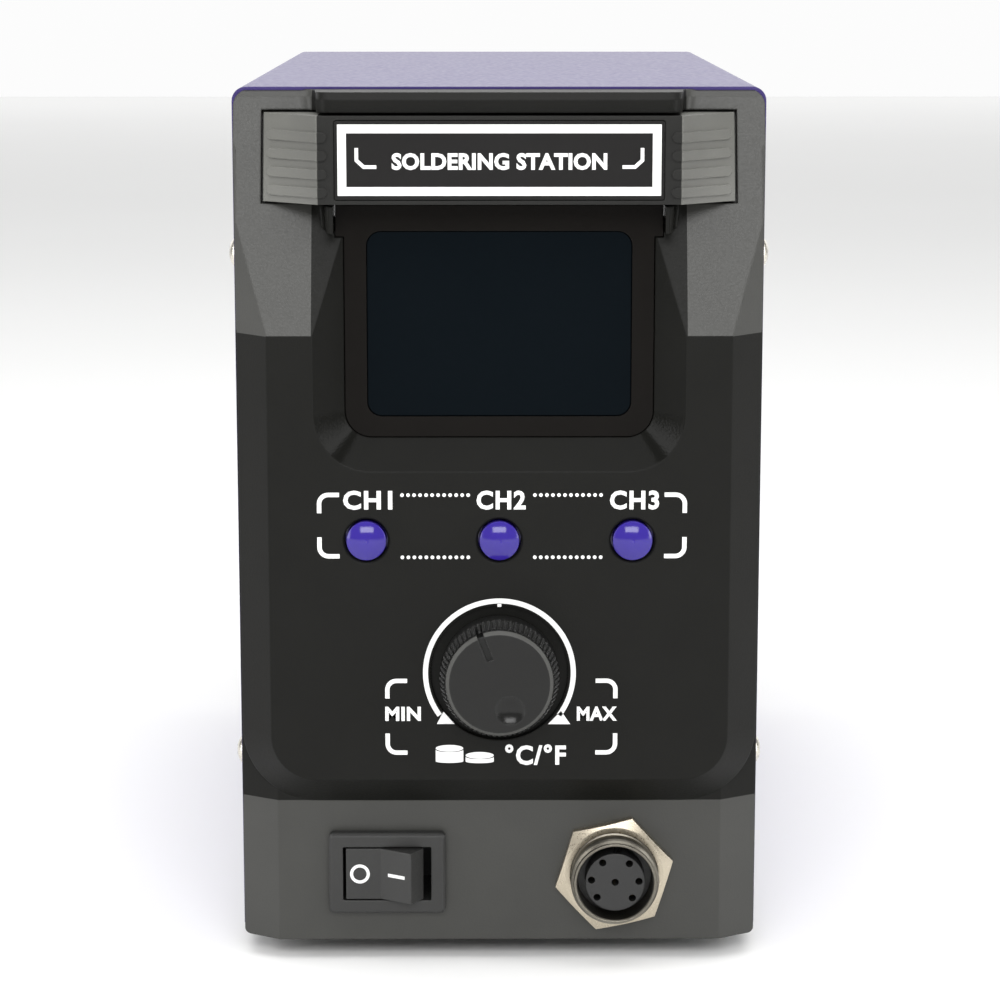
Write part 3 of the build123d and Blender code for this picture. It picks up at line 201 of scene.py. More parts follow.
# edges mask: it lightens the edges in each finish, partly as wear and partly as a painted highlight along
# edges and creases
near_edge = node(
    tree, "ShaderNodeMapRange", {"Value": turned.outputs["Value"], "From Min": 0.995, "From Max": 0.86}
)
patchy = node(
    tree, "ShaderNodeMapRange", {"Value": speckle.outputs["Fac"], "From Min": 0.35, "From Max": 0.6}
)
edge = node(tree, "ShaderNodeMath", {0: near_edge.outputs[0], 1: patchy.outputs[0]}, operation="MULTIPLY")
tree.links.new(bumped.outputs[0], result.inputs["Normal"])
tree.links.new(grain.outputs[0], result.inputs["Grain"])
tree.links.new(mottle.outputs["Fac"], result.inputs["Mottle"])
tree.links.new(edge.outputs[0], result.inputs["Edge"])


def finish(
    name, dark, light, rough, grain=(0.0004, 0.00001), rounding=0.0003, edge_wear_and_glint=0.3, stretch=(1, 1, 1), **own
):
    """Material over the worked surface: two tones, a span of roughness, lighter edges (wear and painted
    highlight) and its own sockets.
    """
    material = bpy.data.materials.new(name)
    material.use_nodes = True
    tree = material.node_tree
    shader = tree.nodes["Principled BSDF"]
    sizes = {"Grain Size": grain[0], "Grain Depth": grain[1], "Edge Radius": rounding, "Stretch": stretch}
    surface = node(tree, "ShaderNodeGroup", sizes, node_tree=surface_group)
    tones = node(
        tree,
        "ShaderNodeMix",
        {0: surface.outputs["Mottle"], 6: (*dark, 1), 7: (*light, 1)},
        data_type="RGBA",
    )
    # lighter edges: partly wear, partly a painted highlight along edges, creases and the knob's chamfer
    edge_wear_and_glint_mask = node(tree, "ShaderNodeMath", {0: surface.outputs["Edge"], 1: edge_wear_and_glint}, operation="MULTIPLY")
    edge_pale_and_glint = tuple(min(1.0, 2.2 * value + 0.03) for value in light)
    colour = node(
        tree, "ShaderNodeMix", {0: edge_wear_and_glint_mask.outputs[0], 6: tones.outputs[2], 7: (*edge_pale_and_glint, 1)}, data_type="RGBA"
    )
    roughness = node(
        tree,
        "ShaderNodeMapRange",
        {
            "Value": surface.outputs["Grain"],
            "From Min": 0.3,
            "From Max": 1.2,
            "To Min": rough[0],
            "To Max": rough[1],
        },
    )
    tree.links.new(colour.outputs[2], shader.inputs["Base Color"])
    tree.links.new(roughness.outputs[0], shader.inputs["Roughness"])
    tree.links.new(surface.outputs["Normal"], shader.inputs["Normal"])
    for socket, value in own.items():
        shader.inputs[socket.replace("_", " ")].default_value = value
    return material


def dress(material, *names):
    """Gives CAD nodes a material."""
    for name in names:
        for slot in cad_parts[name].material_slots:
            slot.material = material


coated_sheet = finish(
    "coated_sheet", (0.022, 0.022, 0.024), (0.030, 0.030, 0.032), (0.42, 0.6), grain=(0.0005, 0.000012)
)
foot_rubber = finish(
    "foot_rubber", (0.012, 0.012, 0.012), (0.020, 0.020, 0.020), (0.65, 0.85), rounding=0.0006, edge_wear_and_glint=0.15
)
zinc_plate = finish(
    "zinc_plate", (0.56, 0.55, 0.52), (0.66, 0.65, 0.62), (0.24, 0.42),
    rounding=0.00015, edge_wear_and_glint=0.2, Metallic=1.0,
)
dress(coated_sheet, "base_chassis", "rear_panel", "transformer_strap")
dress(foot_rubber, "rubber_feet")
dress(zinc_plate, "base_screws", "foot_screws", "board_screws", "front_board_screws", "inlet_screws")
dress(zinc_plate, "inlet_nuts", "transformer_screws")

# =====================================================================================
# Inside: the transformer with its yellow-taped winding on a nylon bobbin, two green boards
# with their parts, an extruded heat sink and a grey ribbon. Seen only through the slots.
# =====================================================================================
core_iron = finish(
    "core_iron", (0.07, 0.07, 0.075), (0.12, 0.12, 0.13), (0.45, 0.65), stretch=(0.05, 1, 0.05), Metallic=0.6
)
winding_tape = finish(
    "winding_tape", (0.52, 0.36, 0.05), (0.66, 0.48, 0.08), (0.3, 0.45), stretch=(1, 1, 0.2)
)
bobbin_nylon = finish("bobbin_nylon", (0.55, 0.52, 0.45), (0.64, 0.62, 0.55), (0.45, 0.6))
board_laminate = finish(
    "board_laminate", (0.010, 0.10, 0.035), (0.02, 0.17, 0.06), (0.25, 0.4), grain=(0.0008, 0.00001)
)
sink_aluminium = finish(
    "sink_aluminium", (0.55, 0.56, 0.58), (0.66, 0.67, 0.69), (0.3, 0.45), stretch=(1, 1, 0.05), Metallic=1.0
)
capacitor_sleeve = finish("capacitor_sleeve", (0.012, 0.02, 0.07), (0.02, 0.03, 0.1), (0.2, 0.3))
terminal_nylon = finish("terminal_nylon", (0.03, 0.24, 0.07), (0.05, 0.32, 0.11), (0.4, 0.55))
ribbon_vinyl = finish(
    "ribbon_vinyl", (0.32, 0.32, 0.33), (0.44, 0.44, 0.45), (0.45, 0.6), stretch=(1, 0.02, 0.02)
)
plain_nylon = finish("plain_nylon", (0.014, 0.014, 0.014), (0.022, 0.022, 0.022), (0.38, 0.55))
contact_brass = finish("contact_brass", (0.58, 0.44, 0.20), (0.72, 0.57, 0.30), (0.2, 0.35), Metallic=1.0)
fuse_glass = finish("fuse_glass", (0.62, 0.66, 0.66), (0.70, 0.74, 0.74), (0.08, 0.16), rounding=0.0002)
tinned_sheet = finish("tinned_sheet", (0.48, 0.48, 0.49), (0.58, 0.58, 0.59), (0.3, 0.45), Metallic=1.0)
dress(core_iron, "transformer_core")
dress(winding_tape, "transformer_winding")
dress(bobbin_nylon, "transformer_bobbin")
dress(board_laminate, "control_board", "front_board")
dress(sink_aluminium, "heat_sink")
dress(capacitor_sleeve, "capacitors")
dress(terminal_nylon, "terminal_block")
dress(ribbon_vinyl, "ribbon_cable")
dress(plain_nylon, "ribbon_headers", "power_triac", "tact_switches")
dress(plain_nylon, "switch_plunger_1", "switch_plunger_2", "switch_plunger_3")
dress(contact_brass, "board_standoffs", "rocker_terminals", "socket_contacts", "inlet_pins")
dress(tinned_sheet, "lcd_frame")
dress(zinc_plate, "pot_shaft", "pot_washer", "pot_nut", "potentiometer")

# =====================================================================================
# Mains inlet: one black moulding screwed to the rear panel, with a shrouded socket above
# and a drawer for the fuse below. The drawer slides out by its lip.
# =====================================================================================
inlet_nylon = finish(
    "inlet_nylon", (0.014, 0.014, 0.014), (0.020, 0.020, 0.020), (0.3, 0.48), grain=(0.0006, 0.00001)
)
dress(inlet_nylon, "mains_inlet", "fuse_drawer")
dress(fuse_glass, "fuse")

# =====================================================================================
# Front bezel and name bar: injection mouldings in black ABS with a fine leather grain. The
# walls round the screen are polished; the pad's colour is painted darker than the arms and skirt, a painted
# shade on one ABS.
# The bezel slides in under the cover and is screwed; the bar sits in a pocket near its top.
# =====================================================================================
bezel_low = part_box("front_bezel")[0]
pad_y = bezel_low.y          # front face of the raised pad
foot_z = bezel_low.z         # lower edge of the bezel
polish_half = 0.0326         # recess round the screen: half its width, and its two heights
polish_low, polish_high = 0.0869, 0.1334
polish_rough = 0.13
slope_limit = -0.93          # a face that leans more than this isn't flat to the front
crease_z = foot_z + 0.111    # above it the arms lean back
skirt_z = foot_z + 0.0262    # below it the skirt with the switch and the socket
# painted shade: the pad's colour is multiplied by this tone, so the same ABS reads darker than on the arms
# and skirt
pad_painted_shade = (0.23, 0.23, 0.225, 1)
pad_sheen, arm_sheen = 0.13, 0.5
polish_dimmed = 0.07
grip_from = 0.0311           # from here outwards the bar is a ribbed grip
# painted shade: the bar's middle is multiplied by this tone, darker than the grips, which lean towards the
# side lights
bar_middle_shade = (0.11, 0.11, 0.11, 1)
grip_sheen, bar_sheen = 0.6, 0.25

bezel_abs = finish(
    "bezel_abs", (0.027, 0.027, 0.0240), (0.037, 0.037, 0.0330), (0.36, 0.48),
    grain=(0.00035, 0.000012), rounding=0.00045, edge_wear_and_glint=0.12,
)
tree = bezel_abs.node_tree
shader = tree.nodes["Principled BSDF"]
place = node(tree, "ShaderNodeTexCoord")
axes = node(tree, "ShaderNodeSeparateXYZ", {0: place.outputs["Object"]})
away = node(tree, "ShaderNodeSeparateXYZ", {0: place.outputs["Normal"]})
within = node(tree, "ShaderNodeMath", {0: axes.outputs["X"], 1: 0.0, 2: polish_half}, operation="COMPARE")
middle = foot_z + (polish_low + polish_high) / 2
half_high = (polish_high - polish_low) / 2
upright = node(
    tree, "ShaderNodeMath", {0: axes.outputs["Z"], 1: middle, 2: half_high}, operation="COMPARE"
)
sloping = node(tree, "ShaderNodeMath", {0: away.outputs["Y"], 1: slope_limit}, operation="GREATER_THAN")
sunk = node(tree, "ShaderNodeMath", {0: axes.outputs["Y"], 1: pad_y + 0.00002}, operation="GREATER_THAN")
both = node(tree, "ShaderNodeMath", {0: within.outputs[0], 1: upright.outputs[0]}, operation="MULTIPLY")
turned_in = node(tree, "ShaderNodeMath", {0: sloping.outputs[0], 1: sunk.outputs[0]}, operation="MULTIPLY")
polished = node(tree, "ShaderNodeMath", {0: both.outputs[0], 1: turned_in.outputs[0]}, operation="MULTIPLY")
rough_link = shader.inputs["Roughness"].links[0].from_socket
gloss = node(
    tree, "ShaderNodeMix", {0: polished.outputs[0], 2: rough_link, 3: polish_rough}, data_type="FLOAT"
)
tree.links.new(gloss.outputs[0], shader.inputs["Roughness"])
upper = node(tree, "ShaderNodeMath", {0: axes.outputs["Z"], 1: crease_z}, operation="GREATER_THAN")
beside = node(tree, "ShaderNodeMath", {0: 1.0, 1: within.outputs[0]}, operation="SUBTRACT")
arms = node(tree, "ShaderNodeMath", {0: upper.outputs[0], 1: beside.outputs[0]}, operation="MULTIPLY")
skirt = node(tree, "ShaderNodeMath", {0: axes.outputs["Z"], 1: skirt_z}, operation="LESS_THAN")
either = node(tree, "ShaderNodeMath", {0: arms.outputs[0], 1: skirt.outputs[0]}, operation="MAXIMUM")
zone = node(tree, "ShaderNodeMath", {0: either.outputs[0], 1: sunk.outputs[0]}, operation="MULTIPLY")
# painted shade: away from the arms and skirt the colour is multiplied down by the pad's shade tone
tone_link = shader.inputs["Base Color"].links[0].from_socket
shaded_area = node(tree, "ShaderNodeMath", {0: 1.0, 1: zone.outputs[0]}, operation="SUBTRACT")
darker = node(
    tree,
    "ShaderNodeMix",
    {0: shaded_area.outputs[0], 6: tone_link, 7: pad_painted_shade},
    data_type="RGBA",
    blend_type="MULTIPLY",
)
tree.links.new(darker.outputs[2], shader.inputs["Base Color"])
sheen = node(tree, "ShaderNodeMapRange", {"Value": zone.outputs[0], "To Min": pad_sheen, "To Max": arm_sheen})
less = node(tree, "ShaderNodeMath", {0: polished.outputs[0], 1: polish_dimmed}, operation="MULTIPLY")
calmer = node(tree, "ShaderNodeMath", {0: sheen.outputs[0], 1: less.outputs[0]}, operation="SUBTRACT")
tree.links.new(calmer.outputs[0], shader.inputs["Specular IOR Level"])
dress(bezel_abs, "front_bezel")

bar_abs = finish(
    "bar_abs", (0.085, 0.085, 0.0765), (0.110, 0.110, 0.099), (0.40, 0.52),
    grain=(0.00030, 0.000014), rounding=0.0003, edge_wear_and_glint=0.5,
)
tree = bar_abs.node_tree
shader = tree.nodes["Principled BSDF"]
place = node(tree, "ShaderNodeTexCoord")
axes = node(tree, "ShaderNodeSeparateXYZ", {0: place.outputs["Object"]})
middle_part = node(
    tree, "ShaderNodeMath", {0: axes.outputs["X"], 1: 0.0, 2: grip_from}, operation="COMPARE"
)
# painted shade: the middle of the bar is darkened, so the grips either side read lighter, as if lit from the
# sides
tone_link = shader.inputs["Base Color"].links[0].from_socket
between = node(
    tree,
    "ShaderNodeMix",
    {0: middle_part.outputs[0], 6: tone_link, 7: bar_middle_shade},
    data_type="RGBA",
    blend_type="MULTIPLY",
)
# painted light: faces turned up are lightened and faces turned down darkened, as light from above would show
# the ribs of the grips
facing = node(tree, "ShaderNodeSeparateXYZ", {0: place.outputs["Normal"]})
painted_light_from_above = node(
    tree,
    "ShaderNodeMapRange",
    {"Value": facing.outputs["Z"], "From Min": -0.5, "From Max": 0.5, "To Min": 0.35, "To Max": 1.6},
)
lit_and_shaded_tone = node(
    tree,
    "ShaderNodeMix",
    {0: 1.0, 6: between.outputs[2], 7: painted_light_from_above.outputs[0]},
    data_type="RGBA",
    blend_type="MULTIPLY",
)
tree.links.new(lit_and_shaded_tone.outputs[2], shader.inputs["Base Color"])
sheen = node(
    tree, "ShaderNodeMapRange", {"Value": middle_part.outputs[0], "To Min": grip_sheen, "To Max": bar_sheen}
)
tree.links.new(sheen.outputs[0], shader.inputs["Specular IOR Level"])
dress(bar_abs, "nameplate_bar")

# =====================================================================================
# Screen: a polished black surround, a smoked acrylic lens set into it and the dark display
# glass behind. The surround is held from inside by its flange.
# =====================================================================================
surround_gloss = finish(
    "surround_gloss", (0.0062, 0.0054, 0.0048), (0.0078, 0.0068, 0.006), (0.10, 0.16),
    grain=(0.0012, 0.000003), rounding=0.0002, edge_wear_and_glint=0.1, Specular_IOR_Level=0.05,
)
smoked_acrylic = finish(
    "smoked_acrylic", (0.0032, 0.0050, 0.0067), (0.0037, 0.0056, 0.0074), (0.07, 0.10),
    grain=(0.002, 0.000001), rounding=0.0002, edge_wear_and_glint=0.0, Specular_IOR_Level=0.01,
)
display_glass = finish("display_glass", (0.01, 0.014, 0.015), (0.013, 0.018, 0.02), (0.06, 0.1), edge_wear_and_glint=0.0)
dress(surround_gloss, "screen_surround")
dress(smoked_acrylic, "display_lens")
dress(display_glass, "lcd_panel")

# =====================================================================================
# Name label: a black printed foil set into the name bar, with a white frame, corner marks
# and a plain description of the product in white ink.
# =====================================================================================
ink_thick = 0.00004
label_foil = finish(
    "label_foil", (0.0075, 0.007, 0.0068), (0.0095, 0.009, 0.0088), (0.34, 0.44),
    grain=(0.0007, 0.000004), edge_wear_and_glint=0.0, Specular_IOR_Level=0.2,
)
white_ink = finish(
    "white_ink", (0.80, 0.80, 0.79), (0.88, 0.88, 0.87), (0.5, 0.65),
    grain=(0.0003, 0.000004), rounding=0.00002, edge_wear_and_glint=0.0,
)
dress(label_foil, "name_label")


def solid_piece(name, mesh_or_bm, material, body):
    """Links a finished mesh as a piece that rides on a body."""
    if isinstance(mesh_or_bm, bmesh.types.BMesh):
        mesh = bpy.data.meshes.new(name)
        mesh_or_bm.to_mesh(mesh)
        mesh_or_bm.free()
    else:
        mesh = mesh_or_bm
    if material is not None:
        mesh.materials.clear()
        mesh.materials.append(material)
    piece = bpy.data.objects.new(name, mesh)
    bpy.context.scene.collection.objects.link(piece)
    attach(piece, body)
    return piece


def prism(bm, outline, y, thick):
    """Thin upright prism from an outline of X and height, its front at y."""
    front = [bm.verts.new((x, y, foot_z + height)) for x, height in outline]
    rear = [bm.verts.new((x, y + thick, foot_z + height)) for x, height in outline]
    bm.faces.new(front)
    bm.faces.new(rear[::-1])
    count = len(outline)
    for a in range(count):
        b = (a + 1) % count
        bm.faces.new((front[b], front[a], rear[a], rear[b]))


def stroke(bm, path, width, y, closed=False):
    """Line of ink along a path of X and height, mitred at its corners."""
    count = len(path)
    sides = []
    for at in range(count):
        before = path[at - 1] if at > 0 or closed else None
        after = path[(at + 1) % count] if at < count - 1 or closed else None
        here = Vector(path[at])
        legs = []
        if before is not None:
            legs.append((here - Vector(before)).normalized())
        if after is not None:
            legs.append((Vector(after) - here).normalized())
        along = sum(legs, Vector((0, 0))).normalized()
        across = Vector((-along.y, along.x))
        reach = width / 2 / max(0.4, across.dot(Vector((-legs[0].y, legs[0].x))))
        sides.append((here + across * reach, here - across * reach))
    spans = count if closed else count - 1
    left_front, left_rear, right_front, right_rear = [], [], [], []
    for left, right in sides:
        left_front.append(bm.verts.new((left.x, y, foot_z + left.y)))
        right_front.append(bm.verts.new((right.x, y, foot_z + right.y)))
        left_rear.append(bm.verts.new((left.x, y + ink_thick, foot_z + left.y)))
        right_rear.append(bm.verts.new((right.x, y + ink_thick, foot_z + right.y)))
    for a in range(spans):
        b = (a + 1) % count
        bm.faces.new((left_front[a], right_front[a], right_front[b], left_front[b]))
        bm.faces.new((left_rear[b], right_rear[b], right_rear[a], left_rear[a]))
        bm.faces.new((left_front[b], left_rear[b], left_rear[a], left_front[a]))
        bm.faces.new((right_front[a], right_rear[a], right_rear[b], right_front[b]))
    if not closed:
        bm.faces.new((left_front[0], left_rear[0], right_rear[0], right_front[0]))
        bm.faces.new((right_front[-1], right_rear[-1], left_rear[-1], left_front[-1]))


def words(bm, text, across, heights, y, weight, spacing):
    """Lettering in white ink, fitted between two X and two heights."""
    curve = bpy.data.curves.new("lettering", "FONT")
    curve.body = text
    curve.offset = weight
    curve.space_character = spacing
    curve.extrude = 0.01
    curve.resolution_u = 3
    holder = bpy.data.objects.new("lettering", curve)
    bpy.context.scene.collection.objects.link(holder)
    bpy.context.view_layer.update()
    letters = bpy.data.meshes.new_from_object(holder.evaluated_get(bpy.context.evaluated_depsgraph_get()))
    bpy.data.objects.remove(holder)
    low = [min(v.co[axis] for v in letters.vertices) for axis in (0, 1)]
    high = [max(v.co[axis] for v in letters.vertices) for axis in (0, 1)]
    wide = (across[1] - across[0]) / (high[0] - low[0])
    tall = (heights[1] - heights[0]) / (high[1] - low[1])
    for v in letters.vertices:
        x = across[0] + (v.co.x - low[0]) * wide
        z = foot_z + heights[0] + (v.co.y - low[1]) * tall
        v.co = (x, y + (ink_thick if v.co.z < 0 else 0), z)
    bm.from_mesh(letters)
    bpy.data.meshes.remove(letters)


def finish_ink(bm):
    """Merges the ink's points and turns its faces outwards."""
    bmesh.ops.remove_doubles(bm, verts=bm.verts, dist=0.000002)
    bmesh.ops.recalc_face_normals(bm, faces=bm.faces)


mm = 0.001
label_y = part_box("name_label")[0].y - ink_thick
bm = bmesh.new()
frame_half, frame_low, frame_high, frame_line = 26.9 * mm, 136.2 * mm, 146.85 * mm, 1.5 * mm
border = [
    (-frame_half, frame_low),
    (frame_half, frame_low),
    (frame_half, frame_high),
    (-frame_half, frame_high),
]
stroke(bm, border, frame_line, label_y, closed=True)
for side in (-1, 1):
    mark = [(24.4, 143.6), (24.4, 141.5), (23.16, 140.36), (21.0, 140.36)]
    stroke(bm, [(side * x * mm, height * mm) for x, height in mark], 0.62 * mm, label_y)
label_across = (-18.4 * mm, 18.4 * mm)
label_heights = (139.85 * mm, 142.75 * mm)
words(bm, "SOLDERING STATION", label_across, label_heights, label_y, weight=0.04, spacing=1.04)
finish_ink(bm)
solid_piece("label_ink", bm, white_ink, "housing")

# =====================================================================================
# Ink on the pad: white pad-printed marks round the channel buttons and the temperature
# knob, with rows of small dots, a ring for the scale and its two end marks.
# =====================================================================================
ink_y = pad_y - ink_thick


def corner_path(x, height, leg_x, leg_height, radius):
    """Corner mark: an upright leg and a level leg joined by a quarter turn."""
    over = math.copysign(1, leg_x - x)
    upwards = math.copysign(1, leg_height - height)
    path = [(x, leg_height)]
    for step in range(9):
        turn = math.radians(90 * step / 8)
        path.append(
            (x + over * radius * (1 - math.cos(turn)), height + upwards * radius * (1 - math.sin(turn)))
        )
    path.append((leg_x, height))
    return [(a * mm, b * mm) for a, b in path]


bm = bmesh.new()
mark_line, mark_turn = 0.78 * mm, 1.6
for x, leg_x in ((-31.5, -28.0), (32.4, 28.85)):
    stroke(bm, corner_path(x, 83.15, leg_x, 79.9, mark_turn), mark_line, ink_y)
    stroke(bm, corner_path(x, 72.2, leg_x, 75.6, mark_turn), mark_line, ink_y)
for x, leg_x in ((-19.8, -16.3), (20.5, 17.0)):
    stroke(bm, corner_path(x, 49.7, leg_x, 46.5, mark_turn), mark_line, ink_y)
    stroke(bm, corner_path(x, 36.6, leg_x, 40.1, mark_turn), mark_line, ink_y)
number_heights = (80.5 * mm, 83.9 * mm)
number_half = 4.3
for number, x in enumerate((-23.0, 0.3, 23.6), start=1):
    across = ((x - number_half) * mm, (x + number_half) * mm)
    words(bm, f"CH{number}", across, number_heights, ink_y, weight=0.034, spacing=1.12)
limit_heights = (42.4 * mm, 45.0 * mm)
words(bm, "MIN", (-20.2 * mm, -13.9 * mm), limit_heights, ink_y, weight=0.038, spacing=1.06)
words(bm, "MAX", (13.7 * mm, 20.8 * mm), limit_heights, ink_y, weight=0.038, spacing=1.06)
words(bm, "°C/°F", (1.0 * mm, 11.8 * mm), (34.3 * mm, 38.1 * mm), ink_y, weight=0.03, spacing=1.1)

# scale ring with a small tick at the top, and the triangles at its ends
knob_height = 51.1
ring_radius = 13.05
ring_steps = 84
ring = []
for step in range(ring_steps + 1):
    turn = math.radians(-36 + 252 * step / ring_steps)
    ring.append((ring_radius * mm * math.cos(turn), (knob_height + ring_radius * math.sin(turn)) * mm))
stroke(bm, ring, 0.9 * mm, ink_y)
stroke(bm, [(0, 63.8 * mm), (0, 63.1 * mm)], 0.7 * mm, ink_y)
prism(bm, [(-11.08 * mm, 41.84 * mm), (-7.94 * mm, 41.84 * mm), (-9.9 * mm, 44.1 * mm)], ink_y, ink_thick)
prism(bm, [(8.58 * mm, 41.78 * mm), (12.54 * mm, 41.78 * mm), (10.9 * mm, 44.2 * mm)], ink_y, ink_thick)

# two round blocks of solder, a tall one and a short one
for x, half, low, top in ((-8.85, 2.45, 34.7, 38.0), (-3.5, 2.5, 34.65, 36.7)):
    lid = 0.62
    brim = top - lid
    outline = [(x + half, brim - 0.25), (x + half, low + lid * 0.5)]
    for step in range(1, 12):
        turn = math.pi * step / 12
        outline.append((x + half * math.cos(turn), low + lid * 0.5 - lid * 0.5 * math.sin(turn)))
    outline += [(x - half, low + lid * 0.5), (x - half, brim - 0.25)]
    for step in range(1, 12):
        turn = math.pi - math.pi * step / 12
        outline.append((x + half * math.cos(turn), brim - 0.25 - lid * 0.75 * math.sin(turn)))
    prism(bm, [(a * mm, b * mm) for a, b in outline], ink_y, ink_thick)
    oval = [
        (x + half * math.cos(math.tau * step / 28), brim + lid * math.sin(math.tau * step / 28))
        for step in range(28)
    ]
    prism(bm, [(a * mm, b * mm) for a, b in oval], ink_y, ink_thick)
finish_ink(bm)
solid_piece("pad_ink", bm, white_ink, "housing")


def new_tree(name, inputs):
    """Geometry tree with named inputs; returns it with its input and output nodes."""
    tree = bpy.data.node_groups.new(name, "GeometryNodeTree")
    tree.interface.new_socket("Geometry", in_out="INPUT", socket_type="NodeSocketGeometry")
    for label, kind in inputs.items():
        tree.interface.new_socket(label, in_out="INPUT", socket_type=kind)
    tree.interface.new_socket("Geometry", in_out="OUTPUT", socket_type="NodeSocketGeometry")
    return tree, node(tree, "NodeGroupInput"), node(tree, "NodeGroupOutput")


def end_tree(tree, result, instances, material_socket):
    """Ends a tree: realised instances with their material set."""
    real = node(tree, "GeometryNodeRealizeInstances", {"Geometry": instances})
    made = node(tree, "GeometryNodeSetMaterial", {"Geometry": real.outputs[0], "Material": material_socket})
    tree.links.new(made.outputs[0], result.inputs[0])


def grown(name, tree, values, body, points=()):
    """Runs a tree on an object of loose points and keeps the result as a plain mesh."""
    seed = bpy.data.meshes.new(name + "_seed")
    seed.from_pydata([tuple(point) for point in points], [], [])
    holder = bpy.data.objects.new(name + "_seed", seed)
    bpy.context.scene.collection.objects.link(holder)
    modifier = holder.modifiers.new("tree", "NODES")
    modifier.node_group = tree
    for item in tree.interface.items_tree:
        if item.in_out == "INPUT" and item.name in values:
            modifier[item.identifier] = values[item.name]
    bpy.context.view_layer.update()
    evaluated = holder.evaluated_get(bpy.context.evaluated_depsgraph_get())
    mesh = bpy.data.meshes.new_from_object(evaluated)
    mesh.name = name
    holder.modifiers.remove(modifier)
    bpy.data.objects.remove(holder)
    return solid_piece(name, mesh, None, body)


# rows of dots between the channel numbers
dots_tree, given, result = new_tree(
    "dot_rows",
    {
        "Dots": "NodeSocketInt",
        "Pitch": "NodeSocketFloat",
        "Dot Size": "NodeSocketFloat",
        "Thickness": "NodeSocketFloat",
        "Ink": "NodeSocketMaterial",
    },
)
tree = dots_tree
step = node(tree, "ShaderNodeCombineXYZ", {"X": given.outputs["Pitch"]})
row = node(tree, "GeometryNodeMeshLine", {"Count": given.outputs["Dots"], "Offset": step.outputs[0]})
half = node(tree, "ShaderNodeMath", {0: given.outputs["Dot Size"], 1: 0.5}, operation="MULTIPLY")
dot = node(
    tree,
    "GeometryNodeMeshCylinder",
    {"Vertices": 12, "Radius": half.outputs[0], "Depth": given.outputs["Thickness"]},
)
upended = (math.radians(90), 0, 0)
stood = node(tree, "GeometryNodeTransform", {"Geometry": dot.outputs[0], "Rotation": upended})
one_row = node(tree, "GeometryNodeInstanceOnPoints", {"Points": row.outputs[0], "Instance": stood.outputs[0]})
rows = node(
    tree,
    "GeometryNodeInstanceOnPoints",
    {"Points": given.outputs["Geometry"], "Instance": one_row.outputs[0]},
)
end_tree(tree, result, rows.outputs[0], given.outputs["Ink"])
row_starts = [
    (x * mm, pad_y - ink_thick / 2, foot_z + height * mm) for x in (-17.0, 6.2) for height in (83.1, 72.0)
]
grown(
    "dot_ink",
    dots_tree,
    {"Dots": 12, "Pitch": 1.05 * mm, "Dot Size": 0.66 * mm, "Thickness": ink_thick, "Ink": white_ink},
    "housing",
    row_starts,
)

# =====================================================================================
# Channel buttons: glossy blue caps with a low dome, each held by its flange behind the
# pad and pushed back by the switch it presses.
# =====================================================================================
button_blue = finish(
    "button_blue", (0.027, 0.014, 0.22), (0.032, 0.017, 0.25), (0.07, 0.12), grain=(0.0009, 0.000004),
    rounding=0.0003, edge_wear_and_glint=0.1,
)
dress(button_blue, "button_cap_1", "button_cap_2", "button_cap_3")

# =====================================================================================
# Temperature knob: satin black ABS pressed on the shaft, with a sunk pointer, a polished
# finger dimple and fine ridges all round its skirt.
# =====================================================================================
knob_low, knob_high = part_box("control_knob")
knob_x = (knob_low.x + knob_high.x) / 2
knob_z = (knob_low.z + knob_high.z) / 2
knob_front = knob_low.y
dimple_turn = math.radians(-68.6)
dimple_at = 0.0051           # centre of the finger dimple, from the knob's axis
dimple_wide = 0.00262
# painted highlight: the knob's chamfer, clear of the dimple, is given this lighter tone
rim_highlight_tone = (0.058, 0.058, 0.054, 1)

knob_abs = finish(
    "knob_abs", (0.0060, 0.0060, 0.0056), (0.0092, 0.0092, 0.0086), (0.34, 0.46), grain=(0.0004, 0.000012),
    rounding=0.00035, edge_wear_and_glint=1.0, Specular_IOR_Level=0.3,
)
tree = knob_abs.node_tree
shader = tree.nodes["Principled BSDF"]
place = node(tree, "ShaderNodeTexCoord")
dimple = (
    knob_x + dimple_at * math.cos(dimple_turn),
    knob_front,
    knob_z + dimple_at * math.sin(dimple_turn),
)
far = node(tree, "ShaderNodeVectorMath", {0: place.outputs["Object"], 1: dimple}, operation="DISTANCE")
bowl = node(
    tree,
    "ShaderNodeMapRange",
    {
        "Value": far.outputs["Value"],
        "From Min": dimple_wide,
        "From Max": dimple_wide + 0.0001,
        "To Min": 1.0,
        "To Max": 0.0,
    },
)
rough_link = shader.inputs["Roughness"].links[0].from_socket
smooth = node(tree, "ShaderNodeMix", {0: bowl.outputs[0], 2: rough_link, 3: 0.2}, data_type="FLOAT")
tree.links.new(smooth.outputs[0], shader.inputs["Roughness"])
# painted highlight: faces slanted to the front, away from the dimple, get the lighter chamfer tone
facing = node(tree, "ShaderNodeSeparateXYZ", {0: place.outputs["Normal"]})
slanted = node(tree, "ShaderNodeMath", {0: facing.outputs["Y"], 1: -0.7, 2: 0.22}, operation="COMPARE")
clear_of_bowl = node(
    tree, "ShaderNodeMath", {0: far.outputs["Value"], 1: dimple_wide + 0.0008}, operation="GREATER_THAN"
)
lit_rim = node(tree, "ShaderNodeMath", {0: slanted.outputs[0], 1: clear_of_bowl.outputs[0]}, operation="MULTIPLY")
tone_link = shader.inputs["Base Color"].links[0].from_socket
rim_highlight_paint = node(
    tree, "ShaderNodeMix", {0: lit_rim.outputs[0], 6: tone_link, 7: rim_highlight_tone}, data_type="RGBA"
)
tree.links.new(rim_highlight_paint.outputs[2], shader.inputs["Base Color"])
dress(knob_abs, "control_knob")

